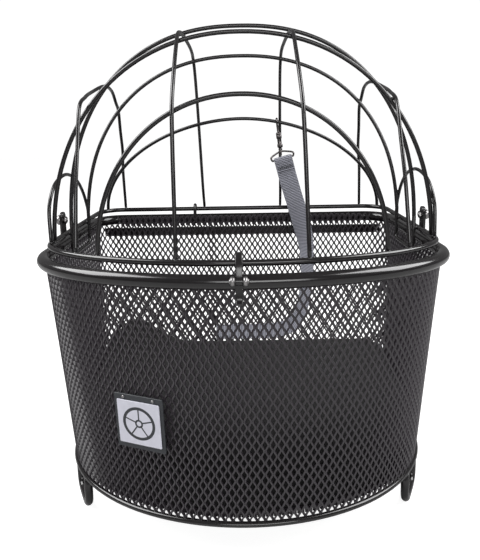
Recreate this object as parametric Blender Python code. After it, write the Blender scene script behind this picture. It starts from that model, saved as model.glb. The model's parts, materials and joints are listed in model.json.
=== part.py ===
"""A handlebar basket for a small pet: expanded metal under a round steel rim, with a hinged wire lid.

Metres, +Z up, +Y towards the handlebar. The origin is on the ground, under the middle of the basket.
Every size below is measured from the lid's hinge axis, the line through the straight back wire of the
lid's base ring, and at() turns such a place into a place in the part's own frame.
"""

import math

import bmesh
import bpy
from mathutils import Matrix, Vector

# Where the hinge axis lies
HINGE_Y = 0.1486
HINGE_Z = 0.2641

# Rim tube, round the basket's mouth
RIM_HALF_WIDTH = 0.184
RIM_FRONT_DEPTH = 0.097
RIM_BACK = 0.003
RIM_CORNER = 0.032
RIM_DROP = 0.013
RIM_DIAMETER = 0.012

# The widest line, where the straight sides end and the round front begins
TOP_WIDEST = -0.194
BASE_WIDEST = -0.141

# Mesh wall and floor
WALL_THICKNESS = 0.0016
WALL_TOP = -0.0193
WALL_BASE = -0.2236
WALL_TOP_HALF_WIDTH = 0.1822
WALL_TOP_FRONT_DEPTH = 0.0955
WALL_BACK = -0.0035
WALL_CORNER = 0.022
RAIL_HEIGHT = -0.0285
BASE_HALF_WIDTH = 0.1795
BASE_FRONT_DEPTH = 0.142
BASE_WIRE_DIAMETER = 0.005
FLOOR_TOP = -0.2200

# Feet
FOOT_DIAMETER = 0.008
FOOT_BASE = -HINGE_Z
FOOT_BEND = 0.014

# Lid wires
RING_DIAMETER = 0.0052
RING_HALF_WIDTH = 0.1775
RING_FRONT_DEPTH = 0.089
RING_CORNER = 0.028
ARCH_DIAMETER = 0.0040
LENGTHWISE_DIAMETER = 0.0035
LEAN_LEFT = 0.019
GUIDE_HALF_WIDTH = 0.1726
GUIDE_DROP = 0.023
LOOP_ARCHES = ((-0.150, 0.0, 0.199, 2.30), (-0.088, 0.12, 0.1804, 2.25))

# Webbing and its fittings
STRAP_WIDTH = 0.0215
STRAP_THICKNESS = 0.0016
GAP = 0.0003

STEEL_BLACK = ((0.012, 0.012, 0.013), 0.22, 0.0)
MESH_BLACK = ((0.014, 0.014, 0.014), 0.38, 0.0)
NICKEL = ((0.16, 0.15, 0.15), 0.30, 1.0)
ZINC = ((0.30, 0.30, 0.31), 0.35, 1.0)
CLOTH_BLACK = ((0.012, 0.012, 0.012), 0.95, 0.0)
WEBBING_GREY = ((0.105, 0.106, 0.115), 0.85, 0.0)
BADGE_WHITE = ((0.75, 0.76, 0.80), 0.35, 0.0)


def at(x, y, z):
    """A place measured from the hinge axis, in the part's frame."""
    return Vector((x, HINGE_Y + y, HINGE_Z + z))


def clear_scene():
    for obj in list(bpy.data.objects):
        bpy.data.objects.remove(obj)


def finish(obj, look, parent=None):
    """Gives an object a material of its own and its parent, and keeps its place."""
    colour, roughness, metallic = look
    material = bpy.data.materials.new(obj.name + "_finish")
    material.use_nodes = True
    shader = material.node_tree.nodes["Principled BSDF"]
    shader.inputs["Base Color"].default_value = (*colour, 1.0)
    shader.inputs["Roughness"].default_value = roughness
    shader.inputs["Metallic"].default_value = metallic
    obj.data.materials.append(material)
    if parent is not None:
        obj.parent = parent
        obj.location -= parent.location
    return obj


def axis_empty(name, place):
    empty = bpy.data.objects.new(name, None)
    empty.location = place
    bpy.context.scene.collection.objects.link(empty)
    return empty


def link_mesh(name, build, origin, smooth_below=40.0):
    """A mesh object from a finished bmesh whose points are in the part's frame."""
    mesh = bpy.data.meshes.new(name)
    bmesh.ops.translate(build, verts=build.verts, vec=-origin)
    bmesh.ops.recalc_face_normals(build, faces=build.faces)
    build.to_mesh(mesh)
    build.free()
    mesh.shade_smooth()
    mesh.set_sharp_from_angle(angle=math.radians(smooth_below))
    obj = bpy.data.objects.new(name, mesh)
    obj.location = origin
    bpy.context.scene.collection.objects.link(obj)
    return obj


def wire(name, points, diameter, look, closed=False, parent=None, origin=None, rounding=2):
    """A round wire or tube along the points: a bevelled curve with filled ends."""
    origin = origin or (parent.location.copy() if parent else points[0].copy())
    curve = bpy.data.curves.new(name, "CURVE")
    curve.dimensions = "3D"
    curve.bevel_depth = diameter / 2
    curve.bevel_resolution = rounding
    curve.use_fill_caps = not closed
    spline = curve.splines.new("POLY")
    spline.points.add(len(points) - 1)
    for target, place in zip(spline.points, points):
        target.co = (*(place - origin), 1.0)
    spline.use_cyclic_u = closed
    obj = bpy.data.objects.new(name, curve)
    obj.location = origin
    bpy.context.scene.collection.objects.link(obj)
    return finish(obj, look, parent)


def smooth_through(points, steps):
    """A Catmull-Rom curve through the points, with steps pieces between each two."""
    ends = [2 * points[0] - points[1], *points, 2 * points[-1] - points[-2]]
    found = []
    for i in range(1, len(ends) - 2):
        before, start, stop, after = ends[i - 1 : i + 3]
        for k in range(steps):
            t = k / steps
            found.append(
                0.5
                * (
                    2 * start
                    + (stop - before) * t
                    + (2 * before - 5 * start + 4 * stop - after) * t * t
                    + (3 * start - before - 3 * stop + after) * t**3
                )
            )
    return found + [points[-1]]


def rounded_path(corners, radius, steps=4):
    """Straight runs between the corners, with each corner turned into a bend."""
    found = [corners[0]]
    for before, corner, after in zip(corners, corners[1:], corners[2:]):
        into = (before - corner).normalized()
        out = (after - corner).normalized()
        reach = radius / math.tan(into.angle(out) / 2)
        start, stop = corner + into * reach, corner + out * reach
        for k in range(steps + 1):
            t = k / steps
            found.append(start.lerp(corner, t).lerp(corner.lerp(stop, t), t))
    return found + [corners[-1]]


def d_outline(half_width, front_depth, widest, back, corner, height, detail=1):
    """A closed D in plan: an elliptical front, straight sides and a straight back with round corners."""
    front_steps, side_steps, corner_steps, back_steps = (int(n * detail) for n in (32, 4, 5, 6))
    side_end = back - corner
    points = []
    for i in range(front_steps + 1):
        angle = math.pi * (1 + i / front_steps)
        points.append((half_width * math.cos(angle), widest + front_depth * math.sin(angle)))
    for i in range(1, side_steps):
        points.append((half_width, widest + (side_end - widest) * i / side_steps))
    for i in range(corner_steps + 1):
        angle = math.pi / 2 * i / corner_steps
        points.append(
            (half_width - corner + corner * math.cos(angle), side_end + corner * math.sin(angle))
        )
    for i in range(1, back_steps):
        points.append(((half_width - corner) * (1 - 2 * i / back_steps), back))
    for i in range(corner_steps + 1):
        angle = math.pi / 2 * (1 + i / corner_steps)
        points.append(
            (-half_width + corner + corner * math.cos(angle), side_end + corner * math.sin(angle))
        )
    for i in range(1, side_steps):
        points.append((-half_width, side_end + (widest - side_end) * i / side_steps))
    return [at(x, y, height) for x, y in points]


def arch(half_width, height, power, y_foot, lean, foot_height, steps=26):
    """A round-shouldered arch from the left foot over the top to the right foot."""
    points = []
    for i in range(steps + 1):
        angle = math.pi * (1 - i / steps)
        across, up = math.cos(angle), math.sin(angle)
        x = half_width * math.copysign(abs(across) ** (2 / power), across)
        z = max(height * up ** (2 / power), foot_height)
        points.append(at(x, y_foot + lean * z, z))
    return points


def skin(build, rows, closed=True):
    """Faces between each two rows of points, which have the same count."""
    made = [[build.verts.new(p) for p in row] for row in rows]
    count = len(rows[0])
    for low, high in zip(made, made[1:]):
        for i in range(count if closed else count - 1):
            j = (i + 1) % count
            build.faces.new((low[i], low[j], high[j], high[i]))
    return made


def box(name, size, centre, look, parent=None, turn=0.0, edge=0.0):
    """A block with its sides along the axes, turned about Z and with bevelled edges."""
    build = bmesh.new()
    bmesh.ops.create_cube(build, size=1.0)
    bmesh.ops.scale(build, vec=size, verts=build.verts)
    if edge:
        bmesh.ops.bevel(build, geom=build.edges[:], offset=edge, segments=1, affect="EDGES")
    bmesh.ops.rotate(build, verts=build.verts, matrix=Matrix.Rotation(turn, 3, "Z"))
    bmesh.ops.translate(build, verts=build.verts, vec=centre)
    return finish(link_mesh(name, build, centre.copy()), look, parent)


def turned_mesh(profile, centre, axis, sides=14):
    """A closed bmesh turned from (distance along the axis, radius) points, with flat ends."""
    build = bmesh.new()
    out = Vector(axis).normalized()
    side = out.orthogonal().normalized()
    other = out.cross(side)
    rows = []
    for along, radius in profile:
        turn = [2 * math.pi * k / sides for k in range(sides)]
        rows.append(
            [centre + out * along + (side * math.cos(a) + other * math.sin(a)) * radius for a in turn]
        )
    made = skin(build, rows)
    build.faces.new(made[0][::-1])
    build.faces.new(made[-1])
    return build


def turned(name, profile, centre, axis, look, parent=None, sides=14):
    build = turned_mesh(profile, centre, axis, sides)
    return finish(link_mesh(name, build, centre.copy(), 30.0), look, parent)


def helper(name, build):
    """A cutter or an added shape for a Boolean, which isn't a sub-part."""
    obj = link_mesh(name, build, Vector((0, 0, 0)))
    obj.hide_render = True
    obj.display_type = "WIRE"
    return obj


def combine(obj, other, operation):
    change = obj.modifiers.new(operation.title(), "BOOLEAN")
    change.operation = operation
    change.object = other
    change.solver = "EXACT"
    return obj


def bored(obj, centre, axis, radius, length, sides=14):
    """Cuts a round hole, centred on a point, through the object."""
    half = length / 2
    build = turned_mesh([(-half, radius), (half, radius)], centre, axis, sides)
    return combine(obj, helper(obj.name + "_bore", build), "DIFFERENCE")


# ---- Basket ----


def add_rim(parent):
    outline = d_outline(
        RIM_HALF_WIDTH, RIM_FRONT_DEPTH, TOP_WIDEST, RIM_BACK, RIM_CORNER, -RIM_DROP
    )
    wire("rim_tube", outline, RIM_DIAMETER, STEEL_BLACK, True, parent, rounding=4)


def add_mesh_wall(parent):
    """The wall narrows from the straight-sided mouth to the rounder base."""
    rows_outside = []
    rows_inside = []
    for share in (0.0, 0.5, 1.0):
        half_width = WALL_TOP_HALF_WIDTH + (BASE_HALF_WIDTH - WALL_TOP_HALF_WIDTH) * share
        depth = WALL_TOP_FRONT_DEPTH + (BASE_FRONT_DEPTH - WALL_TOP_FRONT_DEPTH) * share
        widest = TOP_WIDEST + (BASE_WIDEST - TOP_WIDEST) * share
        height = WALL_TOP + (WALL_BASE - WALL_TOP) * share
        rows_outside.append(
            d_outline(half_width, depth, widest, WALL_BACK, WALL_CORNER, height)
        )
        thin = WALL_THICKNESS
        rows_inside.append(
            d_outline(
                half_width - thin, depth - thin, widest, WALL_BACK - thin, WALL_CORNER - thin, height
            )
        )
    build = bmesh.new()
    rows = rows_outside + rows_inside[::-1]
    made = skin(build, rows)
    for i in range(len(made[0])):
        j = (i + 1) % len(made[0])
        build.faces.new((made[-1][i], made[-1][j], made[0][j], made[0][i]))
    finish(link_mesh("mesh_wall", build, parent.location.copy()), MESH_BLACK, parent)


def base_outline(inset, height, detail=1):
    return d_outline(
        BASE_HALF_WIDTH - inset,
        BASE_FRONT_DEPTH - inset,
        BASE_WIDEST,
        WALL_BACK - inset,
        WALL_CORNER,
        height,
        detail,
    )


def slab(name, outline_at, heights, look, parent):
    """A flat piece with the same outline at each height."""
    build = bmesh.new()
    made = skin(build, [outline_at(h) for h in heights])
    build.faces.new(made[0][::-1])
    build.faces.new(made[-1])
    finish(link_mesh(name, build, parent.location.copy()), look, parent)


def add_floor(parent):
    inset = WALL_THICKNESS + 0.0012
    slab(
        "mesh_floor",
        lambda z: base_outline(inset, z),
        (FLOOR_TOP - WALL_THICKNESS, FLOOR_TOP),
        MESH_BLACK,
        parent,
    )


def wire_level():
    """The height of the base wire's middle, just under the wall."""
    return WALL_BASE - GAP - BASE_WIRE_DIAMETER / 2


def add_base_wires(parent):
    level = wire_level()
    outline = base_outline(0.0, level)
    wire("base_wire", outline, BASE_WIRE_DIAMETER, STEEL_BLACK, True, parent)
    for name, y in (("base_cross_wire_front", -0.176), ("base_cross_wire_rear", -0.045)):
        beyond = max(0.0, (BASE_WIDEST - y) / BASE_FRONT_DEPTH)
        reach = BASE_HALF_WIDTH * math.sqrt(1 - beyond**2) - BASE_WIRE_DIAMETER / 2 - 0.0012
        ends = [at(-reach, y, level), at(reach, y, level)]
        wire(name, ends, BASE_WIRE_DIAMETER, STEEL_BLACK, False, parent)


def add_foot(name, near, far, parent):
    """A U of thick wire under the base wire, from the near leg to the far one."""
    top = wire_level() - BASE_WIRE_DIAMETER / 2 - GAP
    bottom = FOOT_BASE + FOOT_DIAMETER / 2
    corners = [at(*near, top), at(*near, bottom), at(*far, bottom), at(*far, top)]
    path = rounded_path(corners, FOOT_BEND)
    wire(name, path, FOOT_DIAMETER, STEEL_BLACK, False, parent, rounding=3)


def add_feet(parent):
    for side, name in ((-1, "left"), (1, "right")):
        front = ((side * 0.1535, -0.2120), (side * 0.1715, -0.1740))
        rear = ((side * 0.1765, -0.0750), (side * 0.1765, -0.0350))
        add_foot(f"front_{name}_foot", *front, parent)
        add_foot(f"rear_{name}_foot", *rear, parent)


def add_mounting_rail(parent):
    """The rail behind the back wall. A bracket's plate goes between its rear face and the nuts."""
    rail_size = Vector((0.352, 0.004, 0.010))
    centre = at(0, WALL_BACK + 0.0006 + rail_size.y / 2, RAIL_HEIGHT)
    rail = box("mounting_rail", rail_size, centre, STEEL_BLACK, parent, edge=0.0004)
    for side, name in ((-1, "left"), (1, "right")):
        place = centre + Vector((side * 0.060, 0, 0))
        bored(rail, place, (0, 1, 0), 0.0027, 0.02)
        bolt_profile = [
            (-0.0072, 0.0030), (-0.0066, 0.0042), (-0.00461, 0.0045), (-0.0046, 0.0025),
            (0.0090, 0.0025), (0.0095, 0.0023),
        ]
        turned(f"rail_bolt_{name}", bolt_profile, place, (0, 1, 0), STEEL_BLACK, parent)
        nut_place = place + Vector((0, 0.0070, 0))
        nut = turned(
            f"rail_nut_{name}", [(-0.002, 0.0045), (0.002, 0.0045)], nut_place, (0, 1, 0),
            STEEL_BLACK, parent, 6,
        )
        bored(nut, nut_place, (0, 1, 0), 0.0027, 0.02)


def cut_bolt_holes_in_wall():
    """Clearance holes for the rail's bolts in the mesh wall's back."""
    wall = bpy.data.objects["mesh_wall"]
    for side in (-1, 1):
        bored(wall, at(side * 0.060, WALL_BACK, RAIL_HEIGHT), (0, 1, 0), 0.0034, 0.006, 12)


def add_hinge_hooks(parent):
    """Two wire hooks on the rim's back that curl over the lid's back wire."""
    turn_radius = RING_DIAMETER / 2 + 0.0020 + 0.0004
    foot = RIM_BACK - RIM_DIAMETER / 2 - 0.0020 - GAP
    for side, name in ((-1, "left"), (1, "right")):
        x = side * 0.0600
        path = [at(x, foot, -0.0180), at(x, foot, -0.0080), at(x, -turn_radius - 0.0003, -0.0040)]
        for i in range(9):
            angle = math.radians(180 - 26.0 * i)
            path.append(at(x, turn_radius * math.cos(angle), turn_radius * math.sin(angle)))
        wire(f"lid_hinge_hook_{name}", path, 0.0040, STEEL_BLACK, False, parent)


def add_side_lock(side, name, parent):
    """An upright tab on the rim with a short bolt and its nut."""
    y = -0.135
    x = side * 0.1860
    tab = box(
        f"side_tab_{name}", Vector((0.0030, 0.0120, 0.0262)), at(x, y, 0.0064), STEEL_BLACK, parent,
        edge=0.0005,
    )
    place = at(x, y, 0.0110)
    bored(tab, place, (1, 0, 0), 0.0024, 0.01)
    bolt_profile = [
        (-0.0050, 0.0017), (-0.0044, 0.0020), (0.0019, 0.0020), (0.00191, 0.0052),
        (0.0050, 0.0050), (0.0056, 0.0040),
    ]
    turned(f"side_bolt_{name}", bolt_profile, place, (side, 0, 0), ZINC, parent)
    nut_place = place - Vector((side * 0.0032, 0, 0))
    nut = turned(
        f"side_nut_{name}", [(-0.0012, 0.0038), (0.0012, 0.0038)], nut_place, (1, 0, 0), ZINC,
        parent, 6,
    )
    bored(nut, nut_place, (1, 0, 0), 0.0024, 0.01)


# ---- Badge ----


def add_badge(parent):
    """A blank plate on a dark backing, held by two rivets, square to the wall's front left."""
    face = Vector((-0.352, -0.936, -0.066)).normalized()
    middle = at(-0.0875, -0.2702, -0.1388) + face * 0.0012
    across = Vector((0, 0, 1)).cross(face).normalized()
    up = face.cross(across)
    turn = Matrix((across, face, up)).transposed()

    def plate(name, size, offset, look):
        build = bmesh.new()
        bmesh.ops.create_cube(build, size=1.0)
        bmesh.ops.scale(build, vec=size, verts=build.verts)
        bmesh.ops.rotate(build, verts=build.verts, matrix=turn)
        centre = middle + face * offset
        bmesh.ops.translate(build, verts=build.verts, vec=centre)
        return finish(link_mesh(name, build, centre.copy()), look, parent)

    plate("badge_backing", (0.0460, 0.0014, 0.0500), 0.0007, STEEL_BLACK)
    plate("badge_plate", (0.0400, 0.0010, 0.0400), 0.0014 + GAP + 0.0005, BADGE_WHITE)
    for side, name in ((-1, "left"), (1, "right")):
        place = middle + across * side * 0.014 + up * 0.0225 + face * 0.0014
        turned(
            f"badge_rivet_{name}", [(0.0003, 0.0014), (0.0008, 0.0013), (0.0012, 0.0007)], place,
            face, ZINC, parent, 8,
        )


# ---- Cushion ----


def add_cushion(parent):
    """A padded mat that fills the floor, crowned in the middle, with one rear corner pushed up."""
    base = FLOOR_TOP + GAP
    build = bmesh.new()

    def bump(x, y):
        wide = 0.036 if x > -0.137 else 0.028
        return 0.033 * math.exp(-(((x + 0.137) / wide) ** 2 + ((y + 0.034) / 0.024) ** 2))

    def row(inset, rise):
        corner = max(0.026 - inset, 0.004)
        points = d_outline(
            0.1760 - inset, 0.1385 - inset, BASE_WIDEST, -0.0080 - inset, corner, 0.0
        )
        found = []
        for p in points:
            x, y = p.x, p.y - HINGE_Y
            found.append(at(x, y, base + rise + (bump(x, y) if rise > 0.03 else 0.0)))
        return found

    rows = [
        row(0.010, 0.0), row(0.002, 0.006), row(0.0, 0.025), row(0.004, 0.046),
        row(0.013, 0.0550), row(0.024, 0.0565), row(0.036, 0.0580), row(0.052, 0.0588),
        row(0.070, 0.0592), row(0.095, 0.0598),
    ]
    made = skin(build, rows)
    build.faces.new(made[0][::-1])
    middle = build.verts.new(at(0, BASE_WIDEST - 0.02, base + 0.0600))
    for i in range(len(made[-1])):
        build.faces.new((made[-1][i], made[-1][(i + 1) % len(made[-1])], middle))
    finish(link_mesh("seat_cushion", build, parent.location.copy()), CLOTH_BLACK, parent)


# ---- Lid ----


def add_lid_ring(lid):
    outline = d_outline(
        RING_HALF_WIDTH, RING_FRONT_DEPTH, TOP_WIDEST, 0.0, RING_CORNER, 0.0
    )
    wire("lid_ring", outline, RING_DIAMETER, STEEL_BLACK, True, lid)


def add_lid_loop(lid):
    """The two middle arches and the guides that join their legs inside the basket: one closed wire."""
    halves = []
    for y_foot, lean, height, power in LOOP_ARCHES:
        halves.append(arch(GUIDE_HALF_WIDTH, height, power, y_foot, lean, 0.012, 30))
    first, second = halves[0], halves[1][::-1]
    drop = -GUIDE_DROP

    def guide(start, stop, side):
        corners = [
            start, at(side * GUIDE_HALF_WIDTH, start.y - HINGE_Y, drop),
            at(side * GUIDE_HALF_WIDTH, stop.y - HINGE_Y, drop), stop,
        ]
        return rounded_path(corners, 0.006, 3)[1:-1]

    path = first + guide(first[-1], second[0], 1) + second + guide(second[-1], first[0], -1)
    wire("lid_guide_loop", path, ARCH_DIAMETER, STEEL_BLACK, True, lid)


def add_lid_arches(lid):
    """The arches that stand on the base ring, from front to back."""
    foot = RING_DIAMETER / 2 + GAP
    stands = (
        ("lid_front_arch", 0.1190, 0.1303, 2.08, -0.2590, 0.030),
        ("lid_second_arch", 0.1735, 0.1870, 2.15, -0.2000, 0.030),
        ("lid_rear_arch", 0.1690, 0.1120, 1.90, -0.0075, -0.275),
    )
    for name, half_width, height, power, y_foot, lean in stands:
        points = arch(half_width, height, power, y_foot, lean, foot)
        wire(name, points, ARCH_DIAMETER, STEEL_BLACK, False, lid)


def add_lengthwise_wires(lid):
    """Three pairs of wires from the ring's front over the arches to its back."""
    foot = RING_DIAMETER / 2 + GAP
    centre_run = [
        (0.0525, -0.2790, foot), (0.0523, -0.2718, 0.0500), (0.0520, -0.2665, 0.0880),
        (0.0515, -0.2600, 0.1210), (0.0508, -0.2440, 0.1455), (0.0505, -0.2190, 0.1696),
        (0.0505, -0.1973, 0.1852), (0.0500, -0.1801, 0.1892), (0.0497, -0.1650, 0.1899),
        (0.0492, -0.1500, 0.1887), (0.0492, -0.1250, 0.1885), (0.0490, -0.1000, 0.1870),
        (0.0488, -0.0799, 0.1846), (0.0488, -0.0638, 0.1795), (0.0484, -0.0520, 0.1641),
        (0.0483, -0.0380, 0.1300), (0.0482, -0.0270, 0.0900), (0.0481, -0.0120, 0.0300),
        (0.0480, -0.0010, foot + 0.0006),
    ]
    outer_run = [
        (0.1400, -0.2480, foot + 0.0002), (0.1400, -0.2410, 0.0300), (0.1400, -0.2320, 0.0600),
        (0.1397, -0.2193, 0.0912), (0.1400, -0.2039, 0.1233), (0.1408, -0.1792, 0.1331),
        (0.1416, -0.1500, 0.1394), (0.1366, -0.1200, 0.1466), (0.1360, -0.0900, 0.1435),
        (0.1361, -0.0719, 0.1311), (0.1365, -0.0600, 0.1225), (0.1390, -0.0450, 0.1000),
        (0.1413, -0.0294, 0.0755), (0.1450, -0.0168, 0.0539), (0.1460, -0.0124, 0.0401),
        (0.1480, -0.0010, foot + 0.0006),
    ]
    side_run = [
        (0.1745, -0.2070, foot + 0.0004), (0.1759, -0.2006, 0.0322), (0.1748, -0.1881, 0.0500),
        (0.1745, -0.1680, 0.0575), (0.1740, -0.1450, 0.0590), (0.1740, -0.1180, 0.0515),
        (0.1754, -0.0929, 0.0366), (0.1765, -0.0759, 0.0181), (0.1770, -0.0690, foot + 0.0012),
    ]
    runs = (
        ("lid_centre_wire", centre_run, 2),
        ("lid_outer_wire", outer_run, 2),
        ("lid_side_wire", side_run, 3),
    )
    for name, run, steps in runs:
        for side, which in ((-1, "left"), (1, "right")):
            places = [at(side * x - LEAN_LEFT * z, y, z) for x, y, z in run]
            route = smooth_through(places, steps)
            wire(f"{name}_{which}", route, LENGTHWISE_DIAMETER, STEEL_BLACK, False, lid)


# ---- Front latch ----

LATCH_X = -0.003
LATCH_PIVOT = (-0.3016, -0.0095)


def add_latch(parent, latch):
    """A strap-shaped hook on a pin between two ears in front of the rim."""
    pivot = at(LATCH_X, *LATCH_PIVOT)
    width, thick = 0.0056, 0.0022
    run = [
        (-0.2876, 0.0072), (-0.2896, 0.0092), (-0.2925, 0.0094), (-0.2957, 0.0066),
        (-0.2990, 0.0010), (-0.3010, -0.0050), (-0.3016, -0.0095), (-0.3016, -0.0180),
        (-0.3026, -0.0240), (-0.3056, -0.0265),
    ]
    path = smooth_through([at(LATCH_X, y, z) for y, z in run], 2)
    build = bmesh.new()
    rows = []
    for i, place in enumerate(path):
        ahead = (path[min(i + 1, len(path) - 1)] - path[max(i - 1, 0)]).normalized()
        out = ahead.cross(Vector((1, 0, 0))).normalized() * thick / 2
        side = Vector((width / 2, 0, 0))
        rows.append([place + side + out, place - side + out, place - side - out, place + side - out])
    made = skin(build, rows)
    build.faces.new(made[0][::-1])
    build.faces.new(made[-1])
    hook = finish(link_mesh("latch_hook", build, pivot.copy()), STEEL_BLACK, latch)
    half = width / 2
    knuckle = turned_mesh([(-half, 0.0033), (half, 0.0033)], pivot, (1, 0, 0), 16)
    combine(hook, helper("latch_knuckle_shape", knuckle), "UNION")
    bored(hook, pivot, (1, 0, 0), 0.0015, 0.02, 12)
    for side, name in ((-1, "left"), (1, "right")):
        centre = at(LATCH_X + side * 0.0049, -0.3016, -0.0095)
        ear = turned(
            f"latch_ear_{name}", [(-0.0016, 0.0032), (-0.0010, 0.0038), (0.0010, 0.0038), (0.0016, 0.0032)],
            centre, (1, 0, 0), ZINC, parent, 16,
        )
        bored(ear, centre, (1, 0, 0), 0.0015, 0.006, 12)
    pin_profile = [
        (-0.0076, 0.0019), (-0.00681, 0.0021), (-0.0068, 0.0012), (0.0068, 0.0012),
        (0.00681, 0.0021), (0.0076, 0.0019),
    ]
    turned("latch_pin", pin_profile, pivot, (1, 0, 0), ZINC, parent, 12)


# ---- Leash ----

HOOK_TOP = (0.0425, -0.0371, 0.1070)
HOOK_LEAN = Vector((0.115, 0.0, -1.0)).normalized()


def hook_place(side, depth, down):
    """A place in the snap hook's own frame: side to side, front to back, and down its length."""
    across = Vector((-HOOK_LEAN.z, 0, HOOK_LEAN.x))
    return at(*HOOK_TOP) + across * side + Vector((0, depth, 0)) + HOOK_LEAN * down


def add_snap_hook(snap, bolt):
    """A bolt snap: the hook and barrel, the sliding bolt with its thumb knob, and its spring."""
    barrel_centre = hook_place(0, -0.0024, 0.0)
    barrel = turned(
        "snap_hook_body",
        [(0.0115, 0.0030), (0.0125, 0.0036), (0.0290, 0.0036), (0.0305, 0.0028)],
        barrel_centre, HOOK_LEAN, NICKEL, snap,
    )
    path = [hook_place(0, 0.0002, 0.0150), hook_place(0, 0.0022, 0.0095)]
    for i in range(9):
        angle = math.radians(-20 + 25 * i)
        path.append(hook_place(0, 0.0043 * math.cos(angle), -0.0043 * math.sin(angle)))
    claw_profile = 0.0013
    build = bmesh.new()
    rows = []
    for i, place in enumerate(path):
        ahead = (path[min(i + 1, len(path) - 1)] - path[max(i - 1, 0)]).normalized()
        side = ahead.cross(hook_place(1, 0, 0) - hook_place(0, 0, 0)).normalized()
        other = ahead.cross(side)
        turn = [2 * math.pi * k / 8 for k in range(8)]
        rows.append(
            [place + (side * math.cos(a) + other * math.sin(a)) * claw_profile for a in turn]
        )
    made = skin(build, rows)
    build.faces.new(made[0][::-1])
    build.faces.new(made[-1])
    combine(barrel, helper("snap_claw_shape", build), "UNION")
    bolt_axis = hook_place(0, -0.0036, 0.0)
    bored(barrel, bolt_axis + HOOK_LEAN * 0.0190, HOOK_LEAN, 0.0014, 0.0165, 12)
    slot = bmesh.new()
    bmesh.ops.create_cube(slot, size=1.0)
    bmesh.ops.scale(slot, vec=(0.0016, 0.0060, 0.0120), verts=slot.verts)
    lean = Vector((0, 0, -1)).rotation_difference(HOOK_LEAN).to_matrix()
    bmesh.ops.rotate(slot, verts=slot.verts, matrix=lean)
    bmesh.ops.translate(slot, verts=slot.verts, vec=hook_place(0, -0.0066, 0.0205))
    combine(barrel, helper("snap_slot_shape", slot), "DIFFERENCE")
    pivot_hole = barrel_centre + HOOK_LEAN * 0.0300
    bored(barrel, pivot_hole, HOOK_LEAN, 0.0013, 0.0030, 10)
    rod = turned(
        "snap_bolt", [(0.0030, 0.0008), (0.0040, 0.0011), (0.0185, 0.0011)], bolt_axis,
        HOOK_LEAN, NICKEL, bolt, 10,
    )
    knob = turned_mesh(
        [(-0.0002, 0.0006), (-0.0042, 0.0006), (-0.0043, 0.0019), (-0.0060, 0.0016)],
        hook_place(0, -0.0036, 0.0168), (0, 1, 0), 10,
    )
    combine(rod, helper("snap_knob_shape", knob), "UNION")
    turns, start, stop = 4, 0.0189, 0.0268
    coil = []
    for i in range(turns * 8 + 1):
        angle = 2 * math.pi * i / 8
        down = start + (stop - start) * i / (turns * 8)
        coil.append(hook_place(0.0008 * math.cos(angle), -0.0036 + 0.0008 * math.sin(angle), down))
    wire("snap_spring", coil, 0.0005, ZINC, False, snap, rounding=1)


def add_swivel(swivel):
    """The swivel eye under the snap hook, with the D-ring that hangs in it."""
    top = hook_place(0, -0.0024, 0.0)
    shank = turned(
        "swivel_eye",
        [(0.0288, 0.0010), (0.0308, 0.0010), (0.0309, 0.0020), (0.0322, 0.0020)],
        top, HOOK_LEAN, NICKEL, swivel, 10,
    )
    eye_centre = top + HOOK_LEAN * 0.0352
    build = bmesh.new()
    rows = []
    steps = 16
    for i in range(steps):
        angle = 2 * math.pi * i / steps
        out = Vector((0, math.cos(angle), 0)) - HOOK_LEAN * math.sin(angle)
        side = (hook_place(1, 0, 0) - hook_place(0, 0, 0)).normalized()
        turn = [2 * math.pi * k / 6 for k in range(6)]
        rows.append(
            [eye_centre + out * (0.0033 + 0.0010 * math.cos(a)) + side * 0.0010 * math.sin(a) for a in turn]
        )
    made = skin(build, rows)
    for k in range(6):
        build.faces.new((made[-1][k], made[-1][(k + 1) % 6], made[0][(k + 1) % 6], made[0][k]))
    combine(shank, helper("swivel_loop_shape", build), "UNION")
    add_d_ring(swivel, eye_centre)


FOLD_TOP = (0.0490, -0.0404, 0.0645)


def strap_frame():
    """Directions at the strap's top: across its width, and down its length."""
    down = Vector((0.26, 0.0, -1.0)).normalized()
    return Vector((-down.z, 0, down.x)), down


def add_d_ring(swivel, eye_centre):
    """A flat bar that carries the webbing, under a half-round bow that runs through the eye."""
    across, down = strap_frame()
    bar = at(*FOLD_TOP)
    left, right = bar - across * 0.0128, bar + across * 0.0128
    crown = eye_centre - HOOK_LEAN * 0.0008
    bow = smooth_through(
        [
            right, right + across * 0.0006 - down * 0.0040, bar.lerp(crown, 0.75) + across * 0.0085,
            crown, bar.lerp(crown, 0.75) - across * 0.0085, left - across * 0.0006 - down * 0.0040, left,
        ],
        3,
    )
    path = bow + [bar - across * 0.0043, bar + across * 0.0043]
    wire("leash_d_ring", path, 0.0022, NICKEL, True, swivel)


def ribbon(name, path, acrosses, width, thickness, look, parent):
    """A flat strap: a rectangle swept along the path, each section with its own width direction."""
    build = bmesh.new()
    rows = []
    for i, place in enumerate(path):
        ahead = (path[min(i + 1, len(path) - 1)] - path[max(i - 1, 0)]).normalized()
        across = (acrosses[i] - ahead * acrosses[i].dot(ahead)).normalized() * width / 2
        out = ahead.cross(across).normalized() * thickness / 2
        rows.append(
            [place + across + out, place - across + out, place - across - out, place + across - out]
        )
    made = skin(build, rows)
    build.faces.new(made[0][::-1])
    build.faces.new(made[-1])
    return finish(link_mesh(name, build, path[0].copy()), look, parent)


STRAP_TWIST = (
    (0.020, 0.0), (-0.010, 14.0), (-0.050, 50.0), (-0.110, 65.0), (-0.140, 77.0), (-0.155, 88.0)
)


def twist_at(height):
    """How far the webbing has turned about its own length, which grows as it goes down."""
    for (high, before), (low, after) in zip(STRAP_TWIST, STRAP_TWIST[1:]):
        if height >= low:
            share = min(max((high - height) / (high - low), 0.0), 1.0)
            return math.radians(before + (after - before) * share)
    return math.radians(STRAP_TWIST[-1][1])


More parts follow.
